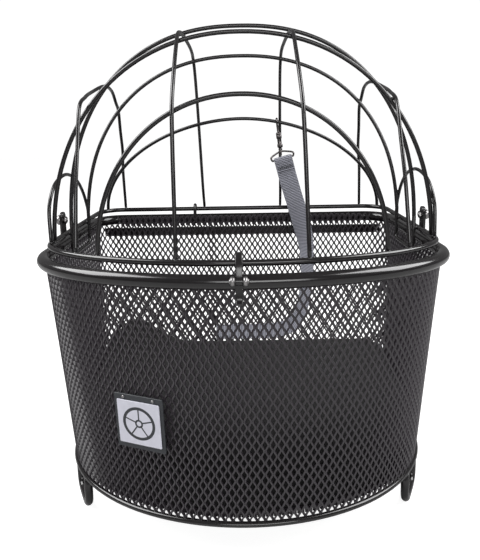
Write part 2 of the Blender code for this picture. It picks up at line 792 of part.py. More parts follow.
def add_strap(parent, swivel):
    """The webbing: a sewn fold round the D-ring's bar, and the long run down to the cushion."""
    across, down = strap_frame()
    bar = at(*FOLD_TOP)
    radius = 0.0011 + GAP + STRAP_THICKNESS / 2
    fold = [bar + Vector((0, -radius * 0.8, 0)) + down * 0.0125]
    fold.append(bar + Vector((0, -radius, 0)) + down * 0.0030)
    for i in range(7):
        angle = math.pi * i / 6
        fold.append(bar + Vector((0, -radius * math.cos(angle), 0)) - down * radius * math.sin(angle))
    fold.append(bar + Vector((0, radius, 0)) + down * 0.0030)
    fold.append(bar + Vector((0, radius * 0.8, 0)) + down * 0.0125)
    ribbon(
        "leash_fold", fold, [across] * len(fold), STRAP_WIDTH, STRAP_THICKNESS, WEBBING_GREY, swivel
    )
    route = [bar + down * s for s in (0.0134, 0.0230)]
    route += [
        at(0.0612, -0.0398, 0.0200), at(0.0680, -0.0385, -0.0020), at(0.0735, -0.0370, -0.0240),
        at(0.0772, -0.0355, -0.0450), at(0.0785, -0.0335, -0.0760), at(0.0762, -0.0310, -0.1040),
        at(0.0712, -0.0295, -0.1290), at(0.0600, -0.0280, -0.1460), at(0.0420, -0.0250, -0.1535),
        at(0.0200, -0.0240, -0.1553), at(-0.0050, -0.0240, -0.1555), at(-0.0360, -0.0240, -0.1555),
    ]
    path = smooth_through(route, 3)
    sideways = Vector((0, -math.cos(math.radians(35)), -math.sin(math.radians(35))))
    acrosses = []
    for place in path:
        turn = twist_at(place.z - HINGE_Z)
        acrosses.append(across * math.cos(turn) + sideways * math.sin(turn))
    ribbon(
        "leash_strap", path, acrosses, STRAP_WIDTH, STRAP_THICKNESS, WEBBING_GREY, parent
    )


def main():
    clear_scene()
    basket = axis_empty("basket", Vector((0, 0, 0)))
    lid = axis_empty("lid_hinge", at(0, 0, 0))
    latch = axis_empty("latch_pivot", at(LATCH_X, *LATCH_PIVOT))
    snap = axis_empty("snap_hook", at(*HOOK_TOP))
    bolt = axis_empty("snap_bolt_slide", hook_place(0, -0.0036, 0.0))
    swivel = axis_empty("swivel_axis", hook_place(0, -0.0024, 0.0))
    add_rim(basket)
    add_mesh_wall(basket)
    add_floor(basket)
    add_base_wires(basket)
    add_feet(basket)
    add_mounting_rail(basket)
    cut_bolt_holes_in_wall()
    add_hinge_hooks(basket)
    for side, name in ((-1, "left"), (1, "right")):
        add_side_lock(side, name, basket)
    add_badge(basket)
    add_cushion(basket)
    add_lid_ring(lid)
    add_lid_loop(lid)
    add_lid_arches(lid)
    add_lengthwise_wires(lid)
    add_latch(basket, latch)
    add_snap_hook(snap, bolt)
    add_swivel(swivel)
    add_strap(basket, swivel)


main()
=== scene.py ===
"""The looks of a handlebar basket for a small pet: black wire lid, expanded-metal basket, mat and leash.

Lengths are in millimetres from the lid's hinge axis until at() turns them into the frame's metres.
"""

import json
import math

import bmesh
import bpy
import numpy as np
from mathutils import Matrix, Vector


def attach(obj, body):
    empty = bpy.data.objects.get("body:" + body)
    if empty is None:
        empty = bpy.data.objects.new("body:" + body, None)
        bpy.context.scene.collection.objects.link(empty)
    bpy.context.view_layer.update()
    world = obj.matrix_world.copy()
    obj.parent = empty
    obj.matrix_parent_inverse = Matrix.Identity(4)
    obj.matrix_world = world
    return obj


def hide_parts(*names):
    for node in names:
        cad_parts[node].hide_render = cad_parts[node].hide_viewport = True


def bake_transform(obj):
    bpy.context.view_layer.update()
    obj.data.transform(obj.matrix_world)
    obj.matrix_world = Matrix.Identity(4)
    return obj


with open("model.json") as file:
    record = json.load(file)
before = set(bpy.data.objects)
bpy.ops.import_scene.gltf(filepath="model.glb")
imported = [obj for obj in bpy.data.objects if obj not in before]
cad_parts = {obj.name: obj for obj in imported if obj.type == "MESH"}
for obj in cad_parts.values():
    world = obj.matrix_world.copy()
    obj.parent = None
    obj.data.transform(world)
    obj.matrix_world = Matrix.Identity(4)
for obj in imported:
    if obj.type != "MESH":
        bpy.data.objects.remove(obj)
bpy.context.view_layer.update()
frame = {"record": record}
JOINTS = {joint["name"]: joint for joint in frame["record"]["behaviour"]["joints"]}
HINGE = Vector(JOINTS["lid_hinge"]["pos_m"])
LATCH_PIVOT = Vector(JOINTS["latch_pivot"]["pos_m"])
HOOK_TOP = Vector(JOINTS["snap_hook_on_arch"]["pos_m"])
HOOK_LEAN = Vector(JOINTS["leash_swivel"]["axis"]).normalized()
MM = 0.001

# Sizes that part.py also uses, in millimetres
RIM = {"a": 184.0, "b": 97.0, "widest": -194.0, "back": 3.0, "corner": 32.0}
RIM_DROP, RIM_RADIUS = -13.0, 6.0
RING = {"a": 177.5, "b": 89.0, "widest": -194.0, "back": 0.0, "corner": 28.0}
RING_RADIUS, ARCH_RADIUS, LONG_RADIUS = 2.6, 2.0, 1.75
LEAN_LEFT = 0.019
WALL_TOP_PLAN = {"a": 182.2, "b": 95.5, "widest": -194.0, "back": -3.5, "corner": 22.0}
WALL_BASE_PLAN = {"a": 179.5, "b": 142.0, "widest": -141.0, "back": -3.5, "corner": 22.0}
WALL_TOP, WALL_BASE, WALL_THICKNESS = -19.3, -223.6, 1.6
BASE_WIRE_RADIUS = 2.5
BASE_WIRE_LEVEL = WALL_BASE - 0.3 - BASE_WIRE_RADIUS
FLOOR_TOP = -220.0
FOOT_RADIUS = 4.0

# Expanded metal
CELL_WIDTH, CELL_HEIGHT = 6.9, 10.8
STRAND_WIDTH, STRAND_THICKNESS = 1.45, 1.8
STRAND_TILT = math.radians(22)
# Floor strands wider than the wall's: partly the real floor, partly a denser dark sheet standing in for
# painted shade under the basket
FLOOR_STRAND_WIDENED_FOR_SHADE = 2.6
BOND_SHARE = 0.36
TUCK = -11.0  # how far the back wall reaches up inside the tube
HEM_DEPTH = 4.0
# Height and strand width of the dark band of painted shade inside the wall's foot
SHADE_STRIP_HEIGHT, SHADE_STRIP_STRAND = 8.5, 3.15
SEAM_X = -35.0

STRAP_WIDTH, STRAP_THICKNESS = 21.5, 1.5
RIB_PITCH = 1.9 * MM


def at(x, y, z):
    return HINGE + Vector((x, y, z)) * MM


# ---- Shapes ----


def add_object(name, build, look, smooth=True, sharp_above=50.0):
    """A mesh object from a finished bmesh in the frame's metres."""
    mesh = bpy.data.meshes.new(name)
    bmesh.ops.recalc_face_normals(build, faces=build.faces)
    build.to_mesh(mesh)
    build.free()
    if smooth:
        mesh.shade_smooth()
        mesh.set_sharp_from_angle(angle=math.radians(sharp_above))
    mesh.materials.append(look)
    obj = bpy.data.objects.new(name, mesh)
    bpy.context.scene.collection.objects.link(obj)
    return obj


def place(obj, body, slot, *nodes):
    """The object rides on a body and stands for the CAD nodes, which it hides. The slot is not used."""
    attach(obj, body)
    if nodes:
        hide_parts(*nodes)
    return obj


def piece(node, build, look, body, slot, sharp_above=50.0):
    """The finished visual of one CAD node."""
    return place(add_object(node + "_visual", build, look, sharp_above=sharp_above), body, slot, node)


def bridge(build, rows, caps=True, loop=False):
    """Faces between rows of points that have the same count."""
    made = [[build.verts.new(p) for p in row] for row in rows]
    count = len(rows[0])
    pairs = list(zip(made, made[1:]))
    if loop:
        pairs.append((made[-1], made[0]))
    for low, high in pairs:
        for i in range(count):
            j = (i + 1) % count
            build.faces.new((low[i], low[j], high[j], high[i]))
    if caps and not loop:
        build.faces.new(made[0][::-1])
        build.faces.new(made[-1])
    return made


def directions(path, loop):
    """The unit direction of travel at each point."""
    count = len(path)
    found = []
    for i in range(count):
        after = path[(i + 1) % count] if loop else path[min(i + 1, count - 1)]
        before = path[i - 1] if loop else path[max(i - 1, 0)]
        found.append((after - before).normalized())
    return found


def sides_along(path, loop):
    """A side direction at each point, carried along the path without twisting."""
    ahead = directions(path, loop)
    side = ahead[0].orthogonal().normalized()
    found = [side]
    for a, b in zip(ahead, ahead[1:]):
        side = a.rotation_difference(b) @ side
        side = (side - b * side.dot(b)).normalized()
        found.append(side)
    if loop:
        carried = ahead[-1].rotation_difference(ahead[0]) @ side
        twist = math.atan2(carried.cross(found[0]).dot(ahead[0]), carried.dot(found[0]))
        count = len(path)
        found = [
            Matrix.Rotation(twist * i / count, 3, ahead[i]) @ s for i, s in enumerate(found)
        ]
    return ahead, found


def add_tube(build, path, radius, loop=False, sides=16):
    """A round wire in the build. Open ends are slightly domed, as cut and coated wire is."""
    ahead, side = sides_along(path, loop)
    stations = [(p, a, s, radius) for p, a, s in zip(path, ahead, side)]
    if not loop:
        dome = radius * 0.25
        first, last = stations[0], stations[-1]
        stations[0] = (first[0] + first[1] * dome, *first[1:])
        stations[-1] = (last[0] - last[1] * dome, *last[1:])
        stations.insert(0, (first[0], first[1], first[2], radius * 0.72))
        stations.append((last[0], last[1], last[2], radius * 0.72))
    rows = []
    for p, a, s, r in stations:
        other = a.cross(s)
        turn = [2 * math.pi * k / sides for k in range(sides)]
        rows.append([p + (s * math.cos(t) + other * math.sin(t)) * r for t in turn])
    bridge(build, rows, loop=loop)


def tube(name, path, radius_mm, look, loop=False, sides=16):
    build = bmesh.new()
    add_tube(build, path, radius_mm * MM, loop, sides)
    return add_object(name, build, look)


def add_turned(build, profile, centre, axis, sides=28):
    """A shape turned from (distance along the axis, radius) in millimetres."""
    out = Vector(axis).normalized()
    side = out.orthogonal().normalized()
    other = out.cross(side)
    rows = []
    for along, radius in profile:
        turn = [2 * math.pi * k / sides for k in range(sides)]
        rows.append(
            [
                centre + (out * along + (side * math.cos(t) + other * math.sin(t)) * radius) * MM
                for t in turn
            ]
        )
    bridge(build, rows)


def smooth_through(points, steps):
    """A Catmull-Rom curve through the points, with steps pieces between each two."""
    ends = [2 * points[0] - points[1], *points, 2 * points[-1] - points[-2]]
    found = []
    for i in range(1, len(ends) - 2):
        before, start, stop, after = ends[i - 1 : i + 3]
        for k in range(steps):
            t = k / steps
            found.append(
                0.5
                * (
                    2 * start
                    + (stop - before) * t
                    + (2 * before - 5 * start + 4 * stop - after) * t * t
                    + (3 * start - before - 3 * stop + after) * t**3
                )
            )
    return found + [points[-1]]


def evenly(path, spacing, loop=False):
    """The same path with points a set distance apart, as an array, with the length of each place."""
    points = np.array([tuple(p) for p in path] + ([tuple(path[0])] if loop else []))
    lengths = np.concatenate([[0], np.cumsum(np.linalg.norm(np.diff(points, axis=0), axis=1))])
    count = max(int(round(lengths[-1] / spacing)), 2)
    where = np.linspace(0, lengths[-1], count + 1)
    made = np.stack([np.interp(where, lengths, points[:, k]) for k in range(3)], axis=1)
    return (made[:-1], where[:-1]) if loop else (made, where)


def rounded_path(corners, radius, steps=8):
    """Straight runs between the corners, with each corner turned into a bend."""
    found = [corners[0]]
    for before, corner, after in zip(corners, corners[1:], corners[2:]):
        into = (before - corner).normalized()
        out = (after - corner).normalized()
        reach = radius / math.tan(into.angle(out) / 2)
        start, stop = corner + into * reach, corner + out * reach
        for k in range(steps + 1):
            t = k / steps
            found.append(start.lerp(corner, t).lerp(corner.lerp(stop, t), t))
    return found + [corners[-1]]


def d_plan(a, b, widest, back, corner, inset=0.0, detail=1):
    """(x, y) points of a closed D: an elliptical front, straight sides and a straight back."""
    a, b, back, corner = a - inset, b - inset, back - inset, max(corner - inset, 2.0)
    front_steps, side_steps, corner_steps, back_steps = (n * detail for n in (72, 12, 10, 24))
    points = []
    for i in range(front_steps + 1):
        angle = math.pi * (1 + i / front_steps)
        points.append((a * math.cos(angle), widest + b * math.sin(angle)))
    side_end = back - corner
    for i in range(1, side_steps):
        points.append((a, widest + (side_end - widest) * i / side_steps))
    for i in range(corner_steps + 1):
        angle = math.pi / 2 * i / corner_steps
        points.append((a - corner + corner * math.cos(angle), side_end + corner * math.sin(angle)))
    for i in range(1, back_steps):
        points.append(((a - corner) * (1 - 2 * i / back_steps), back))
    for i in range(corner_steps + 1):
        angle = math.pi / 2 * (1 + i / corner_steps)
        points.append((-a + corner + corner * math.cos(angle), side_end + corner * math.sin(angle)))
    for i in range(1, side_steps):
        points.append((-a, side_end + (widest - side_end) * i / side_steps))
    return points


def d_path(plan, height, inset=0.0):
    return [at(x, y, height) for x, y in d_plan(**plan, inset=inset)]


def arch(a, h, power, y_foot, lean, foot_height, steps=72):
    """A round-shouldered arch from the left foot over the top to the right foot."""
    points = []
    for i in range(steps + 1):
        angle = math.pi * (1 - i / steps)
        across, up = math.cos(angle), math.sin(angle)
        x = a * math.copysign(abs(across) ** (2 / power), across)
        z = max(h * up ** (2 / power), foot_height)
        points.append(at(x, y_foot + lean * z, z))
    return points


# ---- Materials ----


class Look:
    """A Principled material whose nodes are added in a few short calls."""

    def __init__(self, name, colour, roughness, metallic=0.0, **sockets):
        self.material = bpy.data.materials.new(name)
        self.material.use_nodes = True
        self.nodes = self.material.node_tree.nodes
        self.links = self.material.node_tree.links
        self.shader = self.nodes["Principled BSDF"]
        self.set("Base Color", (*colour, 1.0))
        self.set("Roughness", roughness)
        self.set("Metallic", metallic)
        for socket, value in sockets.items():
            self.set(socket.replace("_", " "), value)
        self.height = None

    def set(self, socket, value):
        self.shader.inputs[socket].default_value = value

    def add(self, kind, **values):
        node = self.nodes.new(kind)
        for key, value in values.items():
            name = key.replace("_", " ")
            if name in node.inputs:
                node.inputs[name].default_value = value
            else:
                setattr(node, key, value)
        return node

    def where(self, space="Object"):
        return self.add("ShaderNodeTexCoord").outputs[space]

    def noise(self, scale, detail=3.0, space="Object", stretch=None):
        """Noise with features about 1 / scale metres across, stretched along an axis if asked."""
        node = self.add("ShaderNodeTexNoise", Scale=scale, Detail=detail)
        source = self.where(space)
        if stretch:
            mapping = self.add("ShaderNodeMapping")
            mapping.inputs["Scale"].default_value = stretch
            self.links.new(source, mapping.inputs["Vector"])
            source = mapping.outputs["Vector"]
        self.links.new(source, node.inputs["Vector"])
        return node.outputs["Fac"]

    def ramp(self, source, stops):
        node = self.add("ShaderNodeValToRGB")
        ramp = node.color_ramp
        while len(ramp.elements) < len(stops):
            ramp.elements.new(0.5)
        for element, (position, value) in zip(ramp.elements, stops):
            element.position = position
            colour = value if isinstance(value, tuple) else (value,) * 3
            element.color = (*colour, 1.0)
        self.links.new(source, node.inputs["Fac"])
        return node.outputs["Color"]

    def colour(self, source, stops):
        self.links.new(self.ramp(source, stops), self.shader.inputs["Base Color"])
        return self

    def roughness(self, source, stops):
        self.links.new(self.ramp(source, stops), self.shader.inputs["Roughness"])
        return self

    def bump(self, source, depth_mm, strength=1.0):
        node = self.add("ShaderNodeBump", Strength=strength, Distance=depth_mm * MM)
        self.links.new(source, node.inputs["Height"])
        if self.height is not None:
            self.links.new(self.height, node.inputs["Normal"])
        self.height = node.outputs["Normal"]
        self.links.new(self.height, self.shader.inputs["Normal"])
        return self

    def math(self, operation, a, b=None):
        node = self.add("ShaderNodeMath", operation=operation)
        for socket, value in zip(node.inputs, (a, b)):
            if isinstance(value, (int, float)):
                socket.default_value = value
            elif value is not None:
                self.links.new(value, socket)
        return node.outputs[0]


def powder_coat(name, roughness, colour=(0.008, 0.0068, 0.0074)):
    """Gloss black powder coat: faint orange peel, cloudy gloss and a little dust."""
    look = Look(name, colour, roughness, Coat_Weight=0.35, Coat_Roughness=0.12)
    dust = look.noise(260.0, 5.0)
    darker = tuple(c * 0.85 for c in colour)
    lighter = tuple(c * 1.2 for c in colour)
    look.colour(dust, [(0.35, darker), (0.72, lighter)])
    cloud = look.noise(45.0, 4.0)
    look.roughness(cloud, [(0.3, roughness * 0.88), (0.7, roughness * 1.12)])
    look.bump(look.noise(500.0, 2.0), 0.02, 0.05)
    return look.material


def plated(name, colour, roughness):
    """Plated steel with fine tumbling marks and duller patches."""
    look = Look(name, colour, roughness, 1.0)
    patch = look.noise(420.0, 4.0)
    look.colour(patch, [(0.3, tuple(c * 0.72 for c in colour)), (0.7, colour)])
    look.roughness(look.noise(1500.0, 3.0), [(0.3, roughness * 0.7), (0.7, roughness * 1.4)])
    look.bump(look.noise(2600.0, 2.0), 0.015, 0.5)
    return look.material


def webbing_look():
    """Dark grey polyester webbing: ribs across the width, with crossed yarns. The base colour follows the
    weave as painted shade in the grooves and a painted highlight on the crests, over random fuzz in the
    yarn's tone.
    """
    look = Look("webbing", (0.05, 0.052, 0.058), 0.8, Sheen_Weight=0.15, Sheen_Roughness=0.4)
    parts = look.add("ShaderNodeSeparateXYZ")
    look.links.new(look.where("UV"), parts.inputs[0])
    across, along = parts.outputs[0], parts.outputs[1]
    rib = look.math("SINE", look.math("MULTIPLY", along, 2 * math.pi))
    yarn = look.math("SINE", look.math("MULTIPLY", across, 2 * math.pi * 16))
    weave = look.math("ADD", look.math("MULTIPLY", rib, 0.42), look.math("MULTIPLY", yarn, 0.16))
    fuzz = look.math("MULTIPLY", look.noise(2200.0, 3.0), 0.35)
    fuzz_and_weave_shade = look.math("ADD", look.math("ADD", weave, fuzz), 0.35)
    # Painted shade in the rib grooves and between yarns, painted highlight on the crests, over random fuzz
    look.colour(fuzz_and_weave_shade, [(0.1, (0.048, 0.049, 0.060)), (0.9, (0.45, 0.455, 0.525))])
    look.bump(weave, 0.25, 0.8)
    look.bump(look.noise(3000.0, 2.0), 0.05, 0.6)
    return look.material


def cloth_look():
    """Black short-pile fleece: clumped fibres with a dull sheen."""
    look = Look("fleece", (0.006, 0.0055, 0.006), 0.95, Sheen_Weight=0.03, Sheen_Roughness=0.5)
    clump = look.noise(240.0, 5.0)
    look.colour(clump, [(0.3, (0.003, 0.0028, 0.003)), (0.75, (0.011, 0.0100, 0.011))])
    look.roughness(clump, [(0.3, 0.85), (0.7, 1.0)])
    look.bump(clump, 0.9, 0.7)
    look.bump(look.noise(1600.0, 4.0), 0.3, 0.8)
    return look.material


def thread_look():
    look = Look("thread", (0.03, 0.032, 0.038), 0.7, Sheen_Weight=0.3)
    twist = look.noise(2600.0, 2.0)
    look.colour(twist, [(0.3, (0.018, 0.019, 0.023)), (0.7, (0.06, 0.064, 0.075))])
    look.bump(twist, 0.05, 0.6)
    return look.material


def plastic_look(name, colour, roughness):
    look = Look(name, colour, roughness)
    cloud = look.noise(180.0, 4.0)
    look.colour(cloud, [(0.25, tuple(c * 0.9 for c in colour)), (0.75, colour)])
    look.roughness(cloud, [(0.3, roughness * 0.85), (0.7, roughness * 1.15)])
    look.bump(look.noise(2000.0, 2.0), 0.01, 0.4)
    return look.material


PAINT = powder_coat("paint_tube", 0.17)
PAINT_WIRE = powder_coat("paint_wire", 0.22)
PAINT_MESH = powder_coat("paint_mesh", 0.32, (0.032, 0.027, 0.0325))
NICKEL = plated("dark_nickel", (0.13, 0.12, 0.12), 0.26)
ZINC = plated("zinc", (0.36, 0.35, 0.35), 0.34)
WEBBING = webbing_look()
FLEECE = cloth_look()
THREAD = thread_look()
BADGE_FACE = plastic_look("badge_face", (0.66, 0.66, 0.74), 0.4)
BADGE_DARK = plastic_look("badge_dark", (0.03, 0.033, 0.038), 0.45)


# ---- Camera and light ----


def add_camera():
    """A standing viewer's camera in front of the basket, a little above its rim."""
    yaw, pitch, roll = 0.0057, 0.1606, -0.0169
    ahead = Vector(
        (-math.sin(yaw) * math.cos(pitch), math.cos(yaw) * math.cos(pitch), -math.sin(pitch))
    )
    level = Vector((math.cos(yaw), math.sin(yaw), 0))
    upright = level.cross(ahead)
    right = level * math.cos(roll) + upright * math.sin(roll)
    up = upright * math.cos(roll) - level * math.sin(roll)
    data = bpy.data.cameras.new("camera")
    data.sensor_width = 36.0
    data.lens = 36.24
    data.shift_y = -0.12
    data.clip_start = 0.01
    camera = bpy.data.objects.new("camera", data)
    turn = Matrix((right, up, -ahead)).transposed().to_4x4()
    camera.matrix_world = Matrix.Translation(at(0.9, -709.6, 108.7)) @ turn
    bpy.context.scene.collection.objects.link(camera)
    bpy.context.scene.camera = camera


def add_lamp(name, position, target, size, power):
    data = bpy.data.lights.new(name, "AREA")
    data.shape = "RECTANGLE"
    data.size, data.size_y = size
    data.energy = power
    lamp = bpy.data.objects.new(name, data)
    lamp.location = position
    lamp.rotation_euler = (target - position).to_track_quat("-Z", "Y").to_euler()
    bpy.context.scene.collection.objects.link(lamp)


def add_studio():
    """A white floor under soft boxes at both sides and in front."""
    build = bmesh.new()
    bmesh.ops.create_grid(build, x_segments=1, y_segments=1, size=6.0)
    ground = Look("floor", (0.41, 0.41, 0.41), 0.9)
    ground.colour(ground.noise(3.0), [(0.3, (0.40, 0.40, 0.40)), (0.7, (0.42, 0.42, 0.42))])
    ground.set("Emission Color", (1.0, 1.0, 1.0, 1.0))
    seen = ground.math("MULTIPLY", ground.add("ShaderNodeLightPath").outputs["Is Camera Ray"], 0.9)
    ground.links.new(seen, ground.shader.inputs["Emission Strength"])
    floor = add_object("floor", build, ground.material, smooth=False)
    world = bpy.data.worlds.new("studio")
    world.use_nodes = True
    background = world.node_tree.nodes["Background"]
    background.inputs["Color"].default_value = (1.0, 1.0, 1.0, 1.0)
    seen = world.node_tree.nodes.new("ShaderNodeLightPath").outputs["Is Camera Ray"]
    brightness = world.node_tree.nodes.new("ShaderNodeMapRange")
    brightness.inputs["To Min"].default_value = 0.2
    brightness.inputs["To Max"].default_value = 1.05
    world.node_tree.links.new(seen, brightness.inputs["Value"])
    world.node_tree.links.new(brightness.outputs["Result"], background.inputs["Strength"])
    bpy.context.scene.world = world
    bpy.context.scene.view_settings.view_transform = "Standard"
    middle = Vector((0, 0, 0.25))
    add_lamp("softbox_left", Vector((-1.55, -0.15, 1.75)), middle, (1.5, 1.5), 58.0)
    add_lamp("softbox_right", Vector((1.6, -0.20, 1.65)), middle, (1.3, 1.5), 50.0)
    add_lamp("softbox_front", Vector((0.3, -2.6, 1.2)), middle, (1.6, 0.9), 22.0)


# ---- Expanded metal ----


def lattice(name, surface, columns, rows_of, look, width=STRAND_WIDTH):
    """Expanded metal as zigzag strands that touch their left and right neighbours by turns.

    surface(u, v) gives places and outward normals for arrays of millimetres along and down.
    rows_of(column) gives the first and last height of a column.
    """
    half_cell = CELL_HEIGHT / 2
    swing = (columns[1] - width) / 2
    verts, faces = [], []
    for k, centre in columns[0]:
        first, last = rows_of(centre)
        count = int((last - first) / half_cell)
        v, shift = [], []
        for j in range(count + 1):
            side = 1 if (j + k) % 2 == 0 else -1
            level = first + j * half_cell
            for step in (-0.5, 0.5):
                v.append(min(max(level + step * BOND_SHARE * half_cell, first), last))
                shift.append(side * swing)
        v = np.array(v)
        keep = np.concatenate([[True], np.diff(v) > 0.05])
        v, shift = v[keep], np.array(shift)[keep]
        places, normals = surface(centre + shift, v)
        ahead = np.gradient(places, axis=0)
        ahead /= np.linalg.norm(ahead, axis=1, keepdims=True)
        side = np.cross(normals, ahead)
        side /= np.linalg.norm(side, axis=1, keepdims=True)
        out = np.cross(ahead, side)
        across = side * math.cos(STRAND_TILT) + out * math.sin(STRAND_TILT)
        through = out * math.cos(STRAND_TILT) - side * math.sin(STRAND_TILT)
        half_w, half_t = width / 2 * MM, STRAND_THICKNESS / 2 * MM
        corners = ((1, 1), (-1, 1), (-1, -1), (1, -1))
        rings = [places + across * half_w * p + through * half_t * q for p, q in corners]
        base = len(verts)
        ring = np.stack(rings, axis=1).reshape(-1, 3)
        verts.extend(ring.tolist())
        stations = len(v)
        for i in range(stations - 1):
            for c in range(4):
                d = (c + 1) % 4
                a = base + 4 * i
                faces.append((a + c, a + d, a + 4 + d, a + 4 + c))
        faces.append((base + 3, base + 2, base + 1, base))
        end = base + 4 * (stations - 1)
        faces.append((end, end + 1, end + 2, end + 3))
    mesh = bpy.data.meshes.new(name)
    mesh.from_pydata(verts, [], faces)
    mesh.update()
    mesh.materials.append(look)
    obj = bpy.data.objects.new(name, mesh)
    bpy.context.scene.collection.objects.link(obj)
    return obj


class WallSurface:
    """The basket's wall: places by the length along its middle line and the depth below its top."""

    def __init__(self):
        inset = WALL_THICKNESS / 2
        self.top = np.array(d_plan(**WALL_TOP_PLAN, inset=inset, detail=4))
        self.base = np.array(d_plan(**WALL_BASE_PLAN, inset=inset, detail=4))
        self.top = np.vstack([self.top, self.top[:1]])
        self.base = np.vstack([self.base, self.base[:1]])
        middle = (self.top + self.base) / 2
        steps = np.linalg.norm(np.diff(middle, axis=0), axis=1)
        self.length = np.concatenate([[0], np.cumsum(steps)])
        self.around = self.length[-1]

    def plan(self, points, u):
        u = np.mod(u, self.around)
        return np.stack([np.interp(u, self.length, points[:, k]) for k in range(2)], axis=1)

    def raw(self, u, v):
        share = np.asarray(v)[:, None] / (WALL_TOP - WALL_BASE)
        top, base = self.plan(self.top, u), self.plan(self.base, u)
        return top + (base - top) * share

    def __call__(self, u, v, inward=0.0):
        u, v = np.asarray(u, float), np.asarray(v, float)
        here = self.raw(u, v)
        along = self.raw(u + 1.0, v) - self.raw(u - 1.0, v)
        along /= np.linalg.norm(along, axis=1, keepdims=True)
        normal = np.stack([along[:, 1], -along[:, 0], np.zeros(len(u))], axis=1)
        places = np.column_stack([here, WALL_TOP - v]) - normal * inward
        return places * MM + np.array(HINGE), normal

    def place_of(self, x):
        """The length along the wall where the straight back passes x."""
        middle = (self.top + self.base) / 2
        near = np.where(middle[:, 1] > WALL_TOP_PLAN["back"] - 2.0)[0]
        best = min(near, key=lambda i: abs(middle[i, 0] - x))
        return self.length[best]


WALL = WallSurface()


def add_wall():
    """The wall of one sheet, closed by an overlap at the back, tucked under and inside the rim."""
    count = 2 * round(WALL.around / CELL_WIDTH)
    spacing = WALL.around / count
    corner = WALL_TOP_PLAN["a"] - WALL_TOP_PLAN["corner"]
    back_from, back_to = sorted((WALL.place_of(corner - 3), WALL.place_of(-corner + 3)))
    depth = WALL_TOP - WALL_BASE

    def extent(u):
        tucked = TUCK if back_from < u < back_to else -0.9
        return tucked, depth + 0.9

    columns = ([(k, (k + 0.5) * spacing) for k in range(count)], spacing)
    wall = lattice("mesh_wall_visual", WALL, columns, extent, PAINT_MESH)
    place(wall, "basket", "mesh_black", "mesh_wall")
    seam = round(WALL.place_of(SEAM_X) / spacing)
    overlap = ([(seam + k, (seam + k + 0.5) * spacing + 0.5) for k in range(-1, 2)], spacing)
    lap = lattice(
        "mesh_wall_overlap",
        lambda u, v: WALL(u, v, 2.2),
        overlap,
        lambda u: (TUCK, depth - 1.0),
        PAINT_MESH,
    )
    place(lap, "basket", "mesh_black")
    add_hem(back_from + 8.0, back_to - 8.0, spacing)
    # The dark band of painted shade inside the wall's foot
    add_painted_shade_strip(columns, depth)


def add_hem(start, end, spacing):
    """The back wall's top edge, folded over once behind the tube and in front of the rail."""
    first, last = int(start / spacing) + 1, int(end / spacing)
    hem = lattice(
        "mesh_wall_hem",
        lambda u, v: WALL(u, v, 1.9),
        ([(k, (k + 1.0) * spacing) for k in range(first, last)], spacing),
        lambda u: (TUCK, HEM_DEPTH),
        PAINT_MESH,
    )
    place(hem, "basket", "mesh_black")


def add_painted_shade_strip(columns, depth):
    """A nearly closed band of mesh standing inside the foot of the wall all round: a dark sheet put there as
    painted shade in the gap between the mat and the wall.
    """
    shade_strip = lattice(
        "mesh_floor_shade_strip",
        lambda u, v: WALL(u, v, 2.0),
        columns,
        lambda u: (depth - SHADE_STRIP_HEIGHT, depth - 0.3),
        PAINT_MESH,
        SHADE_STRIP_STRAND,
    )
    place(shade_strip, "basket", "mesh_black")


def add_mesh_floor():
    """The floor of the same expanded metal, with its diamonds running from front to back."""
    level = FLOOR_TOP - WALL_THICKNESS / 2
    plan = WALL_BASE_PLAN
    inset = WALL_THICKNESS + 1.6

    def surface(u, v):
        places = np.column_stack([u, -v, np.full(len(u), level)]) * MM + np.array(HINGE)
        return places, np.tile([0.0, 0.0, 1.0], (len(u), 1))

    def extent(x):
        beyond = min(abs(x) / (plan["a"] - inset), 1.0)
        front = -plan["widest"] + (plan["b"] - inset) * math.sqrt(1 - beyond**2)
        edge = plan["a"] - inset - abs(x)
        turn = plan["corner"] - inset
        lost = turn - math.sqrt(max(turn**2 - (turn - edge) ** 2, 0)) if edge < turn else 0.0
        return -plan["back"] + inset + lost, front

    spacing = CELL_WIDTH / 2
    half = int((plan["a"] - inset) / spacing)
    columns = ([(k, k * spacing) for k in range(-half + 1, half)], spacing)
    # The wide strands close the floor up, partly as painted shade under the basket
    floor = lattice("mesh_floor_visual", surface, columns, extent, PAINT_MESH, FLOOR_STRAND_WIDENED_FOR_SHADE)
    place(floor, "basket", "mesh_black", "mesh_floor")


# ---- Basket metalwork ----


def add_rim():
    path = [at(x, y, RIM_DROP) for x, y in d_plan(**RIM)]
    obj = tube("rim_tube_visual", path, RIM_RADIUS, PAINT, loop=True, sides=40)
    place(obj, "basket", "steel_black", "rim_tube")


def add_base():
    path = d_path(WALL_BASE_PLAN, BASE_WIRE_LEVEL)
    obj = tube("base_wire_visual", path, BASE_WIRE_RADIUS, PAINT, loop=True, sides=20)
    place(obj, "basket", "steel_black", "base_wire")
    plan = WALL_BASE_PLAN
    for name, y in (("base_cross_wire_front", -176.0), ("base_cross_wire_rear", -45.0)):
        beyond = max(0.0, (plan["widest"] - y) / plan["b"])
        reach = plan["a"] * math.sqrt(1 - beyond**2) - BASE_WIRE_RADIUS - 0.4
        ends = [at(-reach, y, BASE_WIRE_LEVEL), at(0, y, BASE_WIRE_LEVEL), at(reach, y, BASE_WIRE_LEVEL)]
        wire = tube(name + "_visual", ends, BASE_WIRE_RADIUS, PAINT, sides=20)
        place(wire, "basket", "steel_black", name)


